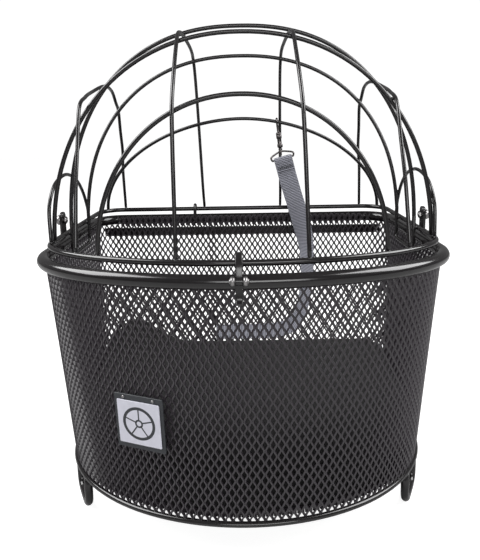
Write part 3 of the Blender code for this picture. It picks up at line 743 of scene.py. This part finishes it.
def add_feet():
    """Four U-shaped wire feet, welded under the base wire."""
    top = BASE_WIRE_LEVEL - BASE_WIRE_RADIUS - 0.1
    bottom = -HINGE.z / MM + FOOT_RADIUS
    for side, which in ((-1, "left"), (1, "right")):
        for end, near, far in (
            ("front", (side * 153.5, -212.0), (side * 171.5, -174.0)),
            ("rear", (side * 176.5, -75.0), (side * 176.5, -35.0)),
        ):
            corners = [at(*near, top), at(*near, bottom), at(*far, bottom), at(*far, top)]
            build = bmesh.new()
            add_tube(build, rounded_path(corners, 14.0 * MM), FOOT_RADIUS * MM, sides=24)
            for x, y in (near, far):
                weld = [(-1.2, 2.2), (-0.8, 4.2), (0.4, 4.6), (1.6, 3.8), (2.2, 2.0)]
                add_turned(build, weld, at(x, y, top), (0, 0, 1), 20)
            piece(f"{end}_{which}_foot", build, PAINT, "basket", "steel_black")


def add_plate(build, outline, centre, side, up, out, thickness, edge=0.5):
    """A flat plate with this outline in millimetres and small chamfers all round."""
    middle = [sum(p[k] for p in outline) / len(outline) for k in range(2)]
    rows = []
    for offset, inset in (
        (-thickness / 2, edge), (-thickness / 2 + edge, 0), (thickness / 2 - edge, 0),
        (thickness / 2, edge),
    ):
        row = []
        for x, z in outline:
            reach = math.hypot(x - middle[0], z - middle[1])
            shrink = 1 - inset / reach
            px, pz = middle[0] + (x - middle[0]) * shrink, middle[1] + (z - middle[1]) * shrink
            row.append(centre + (side * px + up * pz + out * offset) * MM)
        rows.append(row)
    bridge(build, rows)


def rounded_rectangle(width, height, radius, steps=6):
    points = []
    for k, (sx, sz) in enumerate(((1, 1), (-1, 1), (-1, -1), (1, -1))):
        for i in range(steps + 1):
            angle = math.pi / 2 * (k + i / steps)
            points.append(
                (
                    sx * (width / 2 - radius) + radius * math.cos(angle),
                    sz * (height / 2 - radius) + radius * math.sin(angle),
                )
            )
    return points


def add_nut(build, centre, axis, flats, thickness):
    """A hexagon nut with its chamfered corners, as a turned shape cut to six flats."""
    out = Vector(axis).normalized()
    side = out.orthogonal().normalized()
    other = out.cross(side)
    corner = flats / math.sqrt(3)
    rows = []
    for along, share in ((-0.5, 0.86), (-0.38, 1.0), (0.38, 1.0), (0.5, 0.86)):
        row = []
        for k in range(36):
            angle = 2 * math.pi * k / 36
            flat = flats / 2 / math.cos((angle + math.pi / 6) % (math.pi / 3) - math.pi / 6)
            radius = min(flat, corner * share)
            spot = side * math.cos(angle) + other * math.sin(angle)
            row.append(centre + (out * along * thickness + spot * radius) * MM)
        rows.append(row)
    bridge(build, rows)


def add_rail():
    """The flat rail across the back, with its bolts through the mesh and their nuts behind it."""
    x_axis, y_axis, z_axis = Vector((1, 0, 0)), Vector((0, 1, 0)), Vector((0, 0, 1))
    centre = at(0, WALL_TOP_PLAN["back"] + 0.6 + 2.0, -28.5)
    build = bmesh.new()
    outline = rounded_rectangle(352.0, 10.0, 1.5)
    add_plate(build, outline, centre, x_axis, z_axis, y_axis, 4.0, 0.4)
    piece("mounting_rail", build, PAINT, "basket", "steel_black", sharp_above=30)
    for side, which in ((-1, "left"), (1, "right")):
        spot = centre + Vector((side * 60.0 * MM, 0, 0))
        build = bmesh.new()
        head = [
            (-5.4, 0.3), (-5.4, 1.9), (-7.0, 2.0), (-7.2, 3.2), (-6.6, 4.2), (-5.2, 4.5), (-4.65, 4.4),
            (-4.6, 2.45), (8.9, 2.45), (9.5, 1.9),
        ]
        add_turned(build, head, spot, y_axis)
        piece(f"rail_bolt_{which}", build, PAINT, "basket", "steel_black", sharp_above=35)
        build = bmesh.new()
        add_nut(build, spot + y_axis * 7.0 * MM, y_axis, 7.6, 4.0)
        piece(f"rail_nut_{which}", build, PAINT, "basket", "steel_black", sharp_above=35)


def add_hinge_hooks():
    turn_radius = RING_RADIUS + 2.0 + 0.4
    foot = RIM["back"] - RIM_RADIUS - 2.0 - 0.3
    for side, which in ((-1, "left"), (1, "right")):
        x = side * 60.0
        corners = [at(x, foot, -18.0), at(x, foot, -8.0), at(x, -turn_radius - 0.3, -4.0)]
        for i in range(17):
            angle = math.radians(180 - 13.0 * i)
            corners.append(at(x, turn_radius * math.cos(angle), turn_radius * math.sin(angle)))
        path = smooth_through(corners, 3)
        hook = tube(f"lid_hinge_hook_{which}_visual", path, 2.0, PAINT_WIRE, sides=18)
        place(hook, "basket", "steel_black", f"lid_hinge_hook_{which}")


def add_side_locks():
    """An upright tab on each side of the rim, with a short bolt and nut."""
    y_axis, z_axis = Vector((0, 1, 0)), Vector((0, 0, 1))
    for side, which in ((-1, "left"), (1, "right")):
        out = Vector((side, 0, 0))
        build = bmesh.new()
        outline = rounded_rectangle(12.0, 26.2, 4.5)
        add_plate(build, outline, at(side * 186.0, -135.0, 6.4), y_axis, z_axis, out, 3.0)
        piece(f"side_tab_{which}", build, PAINT, "basket", "steel_black", sharp_above=40)
        centre = at(side * 186.0, -135.0, 11.0)
        build = bmesh.new()
        profile = [
            (-5.0, 1.5), (-4.6, 1.95), (1.5, 2.0), (1.52, 5.0), (2.2, 5.25), (4.2, 5.15), (5.2, 4.4),
            (5.6, 3.2), (4.8, 2.6), (4.6, 0.3),
        ]
        add_turned(build, profile, centre, out)
        piece(f"side_bolt_{which}", build, ZINC, "basket", "zinc", sharp_above=35)
        build = bmesh.new()
        add_nut(build, centre - out * 3.2 * MM, out, 6.4, 2.3)
        piece(f"side_nut_{which}", build, ZINC, "basket", "zinc", sharp_above=35)


def add_latch():
    """The spring-steel hook on its pin, between two round zinc ears in front of the rim."""
    x_axis = Vector((1, 0, 0))
    width, thick = 5.6, 2.2
    run = [
        (-287.6, 7.2), (-289.6, 9.2), (-292.5, 9.4), (-295.7, 6.6), (-299.0, 1.0), (-301.0, -5.0),
        (-301.6, -9.5), (-301.6, -18.0), (-302.6, -24.0), (-305.6, -26.5),
    ]
    x = LATCH_PIVOT.x / MM
    path = smooth_through([at(x, y, z) for y, z in run], 6)
    build = bmesh.new()
    rows = []
    section = rounded_rectangle(width, thick, 0.7, 4)
    for place_, ahead in zip(path, directions(path, False)):
        out = ahead.cross(x_axis).normalized()
        rows.append([place_ + (x_axis * p + out * q) * MM for p, q in section])
    bridge(build, rows)
    add_turned(build, [(-2.75, 2.7), (-2.4, 3.2), (2.4, 3.2), (2.75, 2.7)], LATCH_PIVOT, x_axis)
    piece("latch_hook", build, PAINT_WIRE, "latch", "steel_black", sharp_above=40)
    for side, which in ((-1, "left"), (1, "right")):
        build = bmesh.new()
        centre = LATCH_PIVOT + x_axis * side * 4.9 * MM
        profile = [(-1.6, 1.4), (-1.6, 2.9), (-1.2, 3.6), (-0.5, 3.8), (0.5, 3.8), (1.2, 3.6), (1.6, 2.9)]
        add_turned(build, profile + [(1.6, 1.4)], centre, x_axis)
        piece(f"latch_ear_{which}", build, ZINC, "basket", "zinc", sharp_above=50)
    build = bmesh.new()
    half = [(6.75, 1.15), (6.8, 2.1), (7.3, 1.9), (7.6, 1.2)]
    profile = [(-along, radius) for along, radius in half[::-1]] + half
    add_turned(build, profile, LATCH_PIVOT, x_axis, 20)
    piece("latch_pin", build, ZINC, "basket", "zinc", sharp_above=35)


# ---- Badge ----


def add_badge():
    """A blank plate with a plain wheel drawn on it, on a dark backing that follows the wall."""
    face = Vector((-0.352, -0.936, -0.066)).normalized()
    middle = at(-87.5, -270.2, -138.8) + face * 1.2 * MM
    across = Vector((0, 0, 1)).cross(face).normalized()
    up = face.cross(across)

    def plate(build, outline, offset, thickness, edge, slide=0.0):
        centre = middle + (face * offset + up * slide) * MM
        add_plate(build, outline, centre, across, up, face, thickness, edge)

    build = bmesh.new()
    plate(build, rounded_rectangle(46.0, 50.0, 1.2), 0.7, 1.4, 0.3)
    piece("badge_backing", build, BADGE_DARK, "basket", "badge_backing", sharp_above=30)
    build = bmesh.new()
    plate(build, rounded_rectangle(40.0, 40.0, 0.8), 2.05, 1.0, 0.2)
    piece("badge_plate", build, BADGE_FACE, "basket", "badge_plate", sharp_above=30)
    build = bmesh.new()

    def drawn_ring(radius, breadth):
        rows = []
        for k in range(64):
            angle = 2 * math.pi * k / 64
            spot = across * math.cos(angle) + up * math.sin(angle)
            rows.append(
                [
                    middle + (face * h + spot * r) * MM
                    for h, r in (
                        (2.4, radius - breadth / 2), (2.6, radius - breadth / 2),
                        (2.6, radius + breadth / 2), (2.4, radius + breadth / 2),
                    )
                ]
            )
        bridge(build, rows, loop=True)

    drawn_ring(14.0, 2.6)
    drawn_ring(3.0, 1.6)
    for k in range(5):
        angle = 2 * math.pi * k / 5 + 0.31
        spot = across * math.cos(angle) + up * math.sin(angle)
        aside = up * math.cos(angle) - across * math.sin(angle)
        section = ((2.4, -0.6), (2.6, -0.6), (2.6, 0.6), (2.4, 0.6))
        rows = [
            [middle + (face * h + spot * r + aside * w) * MM for h, w in section]
            for r in (3.4, 13.0)
        ]
        bridge(build, rows)
    drawing = add_object("badge_drawing", build, BADGE_DARK, smooth=False)
    place(drawing, "basket", "badge_backing")
    for side, which in ((-1, "left"), (1, "right")):
        spot = middle + (across * side * 14.0 + up * 22.5 + face * 1.4) * MM
        build = bmesh.new()
        add_turned(build, [(0.1, 1.4), (0.6, 1.35), (1.0, 1.0), (1.2, 0.5)], spot, face, 20)
        piece(f"badge_rivet_{which}", build, ZINC, "basket", "zinc", sharp_above=60)


# ---- Lid ----


def lid_paths():
    """Each lid wire's path, its radius and whether it closes on itself."""
    foot = RING_RADIUS + 0.3
    paths = {"lid_ring": (d_path(RING, 0.0), RING_RADIUS, True)}
    guide, drop = 172.6, -23.0
    first = arch(guide, 199.0, 2.30, -150.0, 0.0, 12.0, 96)
    second = arch(guide, 180.4, 2.25, -88.0, 0.12, 12.0, 96)[::-1]

    def run(start, stop, side):
        corners = [
            start,
            at(side * guide, (start.y - HINGE.y) / MM, drop),
            at(side * guide, (stop.y - HINGE.y) / MM, drop),
            stop,
        ]
        return rounded_path(corners, 6.0 * MM, 6)[1:-1]

    loop = first + run(first[-1], second[0], 1) + second + run(second[-1], first[0], -1)
    paths["lid_guide_loop"] = (loop, ARCH_RADIUS, True)
    stands = (
        ("lid_front_arch", 119.0, 130.3, 2.08, -259.0, 0.030),
        ("lid_second_arch", 173.5, 187.0, 2.15, -200.0, 0.030),
        ("lid_rear_arch", 169.0, 112.0, 1.90, -7.5, -0.275),
    )
    for name, a, h, power, y_foot, lean in stands:
        paths[name] = (arch(a, h, power, y_foot, lean, foot), ARCH_RADIUS, False)
    centre_run = [
        (52.5, -279.0, foot), (52.3, -271.8, 50.0), (52.0, -266.5, 88.0), (51.5, -260.0, 121.0),
        (50.8, -244.0, 145.5), (50.5, -219.0, 169.6), (50.5, -197.3, 185.2), (50.0, -180.1, 189.2),
        (49.7, -165.0, 189.9), (49.2, -150.0, 188.7), (49.2, -125.0, 188.5), (49.0, -100.0, 187.0),
        (48.8, -79.9, 184.6), (48.8, -63.8, 179.5), (48.4, -52.0, 164.1), (48.3, -38.0, 130.0),
        (48.2, -27.0, 90.0), (48.1, -12.0, 30.0), (48.0, -1.0, foot + 0.6),
    ]
    outer_run = [
        (140.0, -248.0, foot + 0.2), (140.0, -241.0, 30.0), (140.0, -232.0, 60.0),
        (139.7, -219.3, 91.2), (140.0, -203.9, 123.3), (140.8, -179.2, 133.1), (141.6, -150.0, 139.4),
        (136.6, -120.0, 146.6), (136.0, -90.0, 143.5), (136.1, -71.9, 131.1), (136.5, -60.0, 122.5),
        (139.0, -45.0, 100.0), (141.3, -29.4, 75.5), (145.0, -16.8, 53.9), (146.0, -12.4, 40.1),
        (148.0, -1.0, foot + 0.6),
    ]
    side_run = [
        (174.5, -207.0, foot + 0.4), (175.9, -200.6, 32.2), (174.8, -188.1, 50.0),
        (174.5, -168.0, 57.5), (174.0, -145.0, 59.0), (174.0, -118.0, 51.5), (175.4, -92.9, 36.6),
        (176.5, -75.9, 18.1), (177.0, -69.0, foot + 1.2),
    ]
    runs = (("lid_centre_wire", centre_run), ("lid_outer_wire", outer_run), ("lid_side_wire", side_run))
    for name, points in runs:
        for side, which in ((-1, "left"), (1, "right")):
            places = [at(side * x - LEAN_LEFT * z, y, z) for x, y, z in points]
            route = smooth_through(places, 8)
            paths[f"{name}_{which}"] = (route, LONG_RADIUS, False)
    return paths


def add_welds(name, wires, body, reach=0.9):
    """Small coated weld beads wherever two of the wires come within reach of touching."""
    build = bmesh.new()
    names = sorted(wires)
    dense = {}
    for key in names:
        path, radius, loop = wires[key]
        points, _ = evenly(path, 1.0 * MM, loop)
        dense[key] = (points, radius)
    for i, first in enumerate(names):
        for second in names[i + 1 :]:
            a, ra = dense[first]
            b, rb = dense[second]
            limit = (ra + rb + reach) * MM
            apart = np.linalg.norm(a[:, None, :] - b[None, :, :], axis=2)
            near = apart.min(axis=1)
            used = near < limit
            k = 0
            while k < len(a):
                if not used[k]:
                    k += 1
                    continue
                stop = k
                while stop + 1 < len(a) and used[stop + 1]:
                    stop += 1
                best = k + int(np.argmin(near[k : stop + 1]))
                p = Vector(a[best])
                q = Vector(b[int(np.argmin(apart[best]))])
                add_bead(build, p.lerp(q, ra / (ra + rb)), q - p, min(ra, rb) * 1.02)
                k = stop + 1
    beads = add_object(name, build, PAINT_WIRE, sharp_above=90)
    place(beads, body, "steel_black")


def add_bead(build, centre, axis, radius):
    profile = []
    for i in range(1, 8):
        angle = math.pi * i / 8
        profile.append((-radius * 0.75 * math.cos(angle), radius * math.sin(angle)))
    add_turned(build, profile, centre, axis, 14)


def add_lid():
    wires = lid_paths()
    for name, (path, radius, loop) in wires.items():
        sides = 20 if name == "lid_ring" else 14
        look = PAINT if name == "lid_ring" else PAINT_WIRE
        obj = tube(f"{name}_visual", path, radius, look, loop=loop, sides=sides)
        place(obj, "lid", "steel_black", name)
    add_welds("lid_weld_beads", wires, "lid")


# ---- Mat ----


def mat_height(x, y):
    """How much the mat's raised rear corner stands up there."""
    wide = 36.0 if x > -137.0 else 28.0
    return 33.0 * math.exp(-(((x + 137.0) / wide) ** 2 + ((y + 34.0) / 24.0) ** 2))


def mat_rows():
    """The mat's level outlines from its foot up, and the middle of its crown."""
    base = FLOOR_TOP + 0.4
    plan = {"a": 176.0, "b": 138.5, "widest": -141.0, "back": -8.0, "corner": 26.0}
    profile = (
        (-0.6, 0.0), (-0.9, 1.5), (-0.9, 6.0), (-0.6, 24.0), (1.5, 38.0), (6.0, 47.5), (14.0, 53.0),
        (28.0, 56.0), (50.0, 57.5), (80.0, 58.3),
    )
    rows = []
    for inset, rise in profile:
        row = []
        for x, y in d_plan(**plan, inset=inset):
            bump = mat_height(x, y) if rise > 30.0 else 0.0
            row.append(at(x, y, base + rise + bump))
        rows.append(row)
    return rows, at(0, -161.0, base + 58.8)


def inflate(obj, voxel, pressure, frames, cap):
    """Blows the closed shape up a little with a cloth simulation and applies the result."""
    change = obj.modifiers.new("remesh", "REMESH")
    change.mode = "VOXEL"
    change.voxel_size = voxel
    bpy.context.view_layer.update()
    shaped = bpy.data.meshes.new_from_object(obj.evaluated_get(bpy.context.evaluated_depsgraph_get()))
    obj.modifiers.clear()
    obj.data = shaped
    rest = np.array([v.co for v in shaped.vertices])
    floor = rest[:, 2].min()
    group = obj.vertex_groups.new(name="held")
    held = [i for i, p in enumerate(rest) if p[2] < floor + 0.008]
    group.add(held, 1.0, "REPLACE")
    cloth = obj.modifiers.new("cloth", "CLOTH")
    cloth.settings.use_pressure = True
    cloth.settings.uniform_pressure_force = pressure
    cloth.settings.vertex_group_mass = "held"
    cloth.settings.effector_weights.gravity = 0
    cloth.settings.quality = 4
    cloth.settings.tension_stiffness = 30
    cloth.settings.compression_stiffness = 5
    cloth.settings.bending_stiffness = 0.4
    cloth.point_cache.frame_end = frames
    scene = bpy.context.scene
    for frame_number in range(1, frames + 1):
        scene.frame_set(frame_number)
    blown = obj.evaluated_get(bpy.context.evaluated_depsgraph_get()).to_mesh()
    moved = np.array([v.co for v in blown.vertices]) - rest
    obj.evaluated_get(bpy.context.evaluated_depsgraph_get()).to_mesh_clear()
    obj.modifiers.clear()
    scene.frame_set(1)
    far = np.linalg.norm(moved, axis=1, keepdims=True)
    moved *= np.minimum(1.0, cap / np.maximum(far, 1e-9))
    for vertex, p in zip(shaped.vertices, rest + moved):
        vertex.co = p


def add_mat():
    """The padded mat that fills the floor, blown up a little by a cloth simulation."""
    rows, middle = mat_rows()
    build = bmesh.new()
    made = bridge(build, rows, caps=False)
    build.faces.new(made[0][::-1])
    centre = build.verts.new(middle)
    count = len(made[-1])
    for i in range(count):
        build.faces.new((made[-1][i], made[-1][(i + 1) % count], centre))
    mat = add_object("seat_cushion_visual", build, FLEECE)
    inflate(mat, 0.005, 4.0, 12, 0.0015)
    mat.data.materials.clear()
    mat.data.materials.append(FLEECE)
    mat.data.shade_smooth()
    change = mat.modifiers.new("finer", "SUBSURF")
    change.levels = change.render_levels = 1
    place(mat, "basket", "cushion_cloth", "seat_cushion")


# ---- Leash ----


def hook_place(side, depth, down):
    """A place in the snap hook's own frame, in millimetres."""
    across = Vector((-HOOK_LEAN.z, 0, HOOK_LEAN.x))
    return HOOK_TOP + (across * side + Vector((0, depth, 0)) + HOOK_LEAN * down) * MM


def add_snap_hook():
    """A bolt snap: claw, barrel, sliding bolt with its thumb knob, and swivel eye. No spring is drawn."""
    top = hook_place(0, -2.4, 0)
    build = bmesh.new()
    barrel = [
        (11.5, 1.6), (12.0, 2.7), (13.4, 3.3), (15.0, 2.9), (16.0, 2.5), (25.0, 2.5), (26.2, 3.1),
        (28.4, 3.3), (29.6, 2.9), (30.2, 1.8),
    ]
    add_turned(build, barrel, top, HOOK_LEAN, 24)
    claw = [hook_place(0, 0.2, 15.0), hook_place(0, 2.2, 9.5)]
    for i in range(9):
        angle = math.radians(-20 + 25 * i)
        claw.append(hook_place(0, 4.3 * math.cos(angle), -4.3 * math.sin(angle)))
    add_tube(build, smooth_through(claw, 4), 1.25 * MM, sides=14)
    body = add_object("snap_hook_visual", build, NICKEL, sharp_above=45)
    place(body, "snap_hook", "dark_nickel", "snap_hook_body", "snap_spring")
    build = bmesh.new()
    axis = hook_place(0, -3.6, 0)
    add_turned(build, [(3.0, 0.5), (3.3, 0.9), (11.8, 0.95), (12.0, 1.0)], axis, HOOK_LEAN, 16)
    knob = [(1.6, 0.6), (2.6, 0.7), (3.0, 1.7), (4.4, 1.9), (5.4, 1.6), (5.9, 0.8)]
    add_turned(build, knob, hook_place(0, -3.6, 16.8), (0, -1, 0), 18)
    collar = [(14.2, 2.7), (14.8, 3.2), (18.6, 3.2), (19.2, 2.7)]
    add_turned(build, collar, top, HOOK_LEAN, 22)
    piece("snap_bolt", build, NICKEL, "snap_bolt", "dark_nickel", sharp_above=45)
    build = bmesh.new()
    post = [(28.8, 0.8), (30.6, 0.9), (30.9, 2.2), (32.2, 2.4), (33.0, 1.6)]
    add_turned(build, post, top, HOOK_LEAN, 20)
    eye = top + HOOK_LEAN * 35.2 * MM
    ring = []
    for k in range(28):
        angle = 2 * math.pi * k / 28
        ring.append(eye + (Vector((0, math.cos(angle), 0)) - HOOK_LEAN * math.sin(angle)) * 3.3 * MM)
    add_tube(build, ring, 1.0 * MM, loop=True, sides=12)
    piece("swivel_eye", build, NICKEL, "swivel", "dark_nickel", sharp_above=45)
    return eye


STRAP_DOWN = Vector((0.26, 0.0, -1.0)).normalized()
STRAP_ACROSS = Vector((-STRAP_DOWN.z, 0, STRAP_DOWN.x))
BAR = at(49.0, -40.4, 64.5)
STRAP_SIDEWAYS = Vector((0, -math.cos(math.radians(35)), -math.sin(math.radians(35))))
STRAP_TWIST = ((-20.0, 0.0), (10.0, 14.0), (50.0, 50.0), (110.0, 65.0), (140.0, 77.0), (155.0, 88.0))


def add_d_ring(eye):
    crown = eye - HOOK_LEAN * 0.8 * MM
    left, right = BAR - STRAP_ACROSS * 12.8 * MM, BAR + STRAP_ACROSS * 12.8 * MM
    high = BAR.lerp(crown, 0.75)
    shoulder = STRAP_ACROSS * 0.6 * MM - STRAP_DOWN * 4.0 * MM
    mirrored = -STRAP_ACROSS * 0.6 * MM - STRAP_DOWN * 4.0 * MM
    bow = [
        right, right + shoulder, high + STRAP_ACROSS * 8.5 * MM, crown,
        high - STRAP_ACROSS * 8.5 * MM, left + mirrored, left,
    ]
    path = smooth_through(bow, 8) + [BAR - STRAP_ACROSS * 4.3 * MM, BAR + STRAP_ACROSS * 4.3 * MM]
    ring = tube("leash_d_ring_visual", path, 1.1, NICKEL, loop=True, sides=14)
    place(ring, "swivel", "dark_nickel", "leash_d_ring")


def webbing(name, path, acrosses, width, thickness):
    """Ribbed webbing along a path, with raised selvedges and UVs that count ribs along it."""
    points, lengths = evenly(path, 0.3 * MM)
    old_lengths = np.concatenate(
        [[0], np.cumsum([(b - a).length for a, b in zip(path, path[1:])])]
    )
    sides = np.array([tuple(a) for a in acrosses])
    sides = np.stack([np.interp(lengths, old_lengths, sides[:, k]) for k in range(3)], axis=1)
    places = [Vector(p) for p in points]
    ahead = directions(places, False)
    section = []
    steps = 10
    for i in range(steps + 1):
        section.append((1 - 2 * i / steps, 1))
    for i in range(steps + 1):
        section.append((-1 + 2 * i / steps, -1))
    build = bmesh.new()
    uv_layer = build.loops.layers.uv.new("weave")
    rows, marks = [], []
    for place_, forward, side, s in zip(places, ahead, sides, lengths):
        side = Vector(side)
        side = (side - forward * side.dot(forward)).normalized()
        out = forward.cross(side).normalized()
        rib = 0.16 * math.sin(2 * math.pi * s / RIB_PITCH)
        row, mark = [], []
        for across, face in section:
            selvedge = 0.14 if abs(across) > 0.85 else 0.0
            edge = 0.55 if abs(across) > 0.99 else 1.0
            half = (thickness / 2 - 0.1) * edge + (rib * (1 if abs(across) < 0.85 else 0.3) + selvedge) * 0.6
            row.append(place_ + (side * across * width / 2 + out * face * half) * MM)
            mark.append((across * 0.5, s / RIB_PITCH))
        rows.append(row)
        marks.append(mark)
    made = bridge(build, rows)
    lookup = {vert: mark for row, mark_row in zip(made, marks) for vert, mark in zip(row, mark_row)}
    for face in build.faces:
        for loop in face.loops:
            loop[uv_layer].uv = lookup[loop.vert]
    return add_object(name, build, WEBBING, sharp_above=60), places


def add_stitches(build, centre, across, out, width, count):
    """A row of thread stitches across webbing, each a short raised capsule."""
    pitch = width / count
    for k in range(count):
        middle = centre + across * (-width / 2 + (k + 0.5) * pitch) * MM
        half = across * pitch * 0.36 * MM
        lift = out * 0.22 * MM
        path = [middle - half, middle - half * 0.6 + lift, middle + half * 0.6 + lift, middle + half]
        add_tube(build, path, 0.28 * MM, sides=8)


def add_fold():
    """The webbing's sewn loop round the D-ring's bar, with three rows of stitches."""
    radius = 1.1 + 0.3 + STRAP_THICKNESS / 2
    y_axis = Vector((0, 1, 0))
    fold = [BAR + (-y_axis * radius * 0.6 + STRAP_DOWN * 14.0) * MM]
    fold.append(BAR + (-y_axis * radius * 0.62 + STRAP_DOWN * 8.0) * MM)
    fold.append(BAR + (-y_axis * radius + STRAP_DOWN * 2.5) * MM)
    for i in range(13):
        angle = math.pi * i / 12
        fold.append(BAR + (-y_axis * radius * math.cos(angle) - STRAP_DOWN * radius * math.sin(angle)) * MM)
    fold.append(BAR + (y_axis * radius + STRAP_DOWN * 2.5) * MM)
    fold.append(BAR + (y_axis * radius * 0.45 + STRAP_DOWN * 8.0) * MM)
    fold.append(BAR + (y_axis * radius * 0.42 + STRAP_DOWN * 14.0) * MM)
    path = smooth_through(fold, 4)
    obj, _ = webbing("leash_fold_visual", path, [STRAP_ACROSS] * len(path), STRAP_WIDTH, STRAP_THICKNESS)
    place(obj, "swivel", "webbing", "leash_fold")
    build = bmesh.new()
    for down in (8.2, 9.8, 11.4):
        front = BAR + (STRAP_DOWN * down - y_axis * (radius * 0.62 + STRAP_THICKNESS / 2 + 0.05)) * MM
        add_stitches(build, front, STRAP_ACROSS, -y_axis, 18.5, 8)
        back = BAR + (STRAP_DOWN * down + y_axis * (radius * 0.45 + STRAP_THICKNESS / 2 + 0.05)) * MM
        add_stitches(build, back, STRAP_ACROSS, y_axis, 18.5, 8)
    threads = add_object("leash_fold_stitches", build, THREAD)
    place(threads, "swivel", "webbing")


def add_strap():
    """The long run of webbing down the back wall to the mat, where its end is sewn on."""
    route = [BAR + STRAP_DOWN * d * MM for d in (13.4, 23.0)]
    route += [
        at(*p)
        for p in (
            (61.2, -39.8, 20.0), (68.0, -38.5, -2.0), (73.5, -37.0, -24.0), (77.2, -35.5, -45.0),
            (78.5, -33.5, -76.0), (76.2, -31.0, -104.0), (71.2, -29.5, -129.0), (60.0, -28.0, -146.0),
            (42.0, -25.0, -153.5), (20.0, -24.0, -155.3), (-5.0, -24.0, -155.5), (-36.0, -24.0, -155.5),
        )
    ]
    path = smooth_through(route, 6)
    acrosses = []
    heights, turns = zip(*STRAP_TWIST)
    for p in path:
        turn = math.radians(np.interp((HINGE.z - p.z) / MM, heights, turns))
        acrosses.append(STRAP_ACROSS * math.cos(turn) + STRAP_SIDEWAYS * math.sin(turn))
    strap, places = webbing("leash_strap_visual", path, acrosses, STRAP_WIDTH, STRAP_THICKNESS)
    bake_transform(strap)
    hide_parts("leash_strap")
    build = bmesh.new()
    out = STRAP_SIDEWAYS.cross(Vector((1, 0, 0))).normalized()
    out = out if out.z > 0 else -out
    lift = out * (STRAP_THICKNESS / 2 + 0.15) * MM
    for x in (-33.0, -17.0):
        add_stitches(build, at(x, -24.0, -155.5) + lift, STRAP_SIDEWAYS, out, 17.0, 7)
    for aside in (-8.5, 8.5):
        row = at(-25.0, -24.0, -155.5) + STRAP_SIDEWAYS * aside * MM + lift
        add_stitches(build, row, Vector((1, 0, 0)), out, 15.0, 6)
    threads = add_object("leash_end_stitches", build, THREAD)
    place(threads, "basket", "webbing")


def main():
    add_camera()
    add_studio()
    add_strap()
    add_fold()
    add_d_ring(add_snap_hook())
    add_rim()
    add_wall()
    add_mesh_floor()
    add_base()
    add_feet()
    add_rail()
    add_hinge_hooks()
    add_side_locks()
    add_latch()
    add_badge()
    add_lid()
    add_mat()


main()
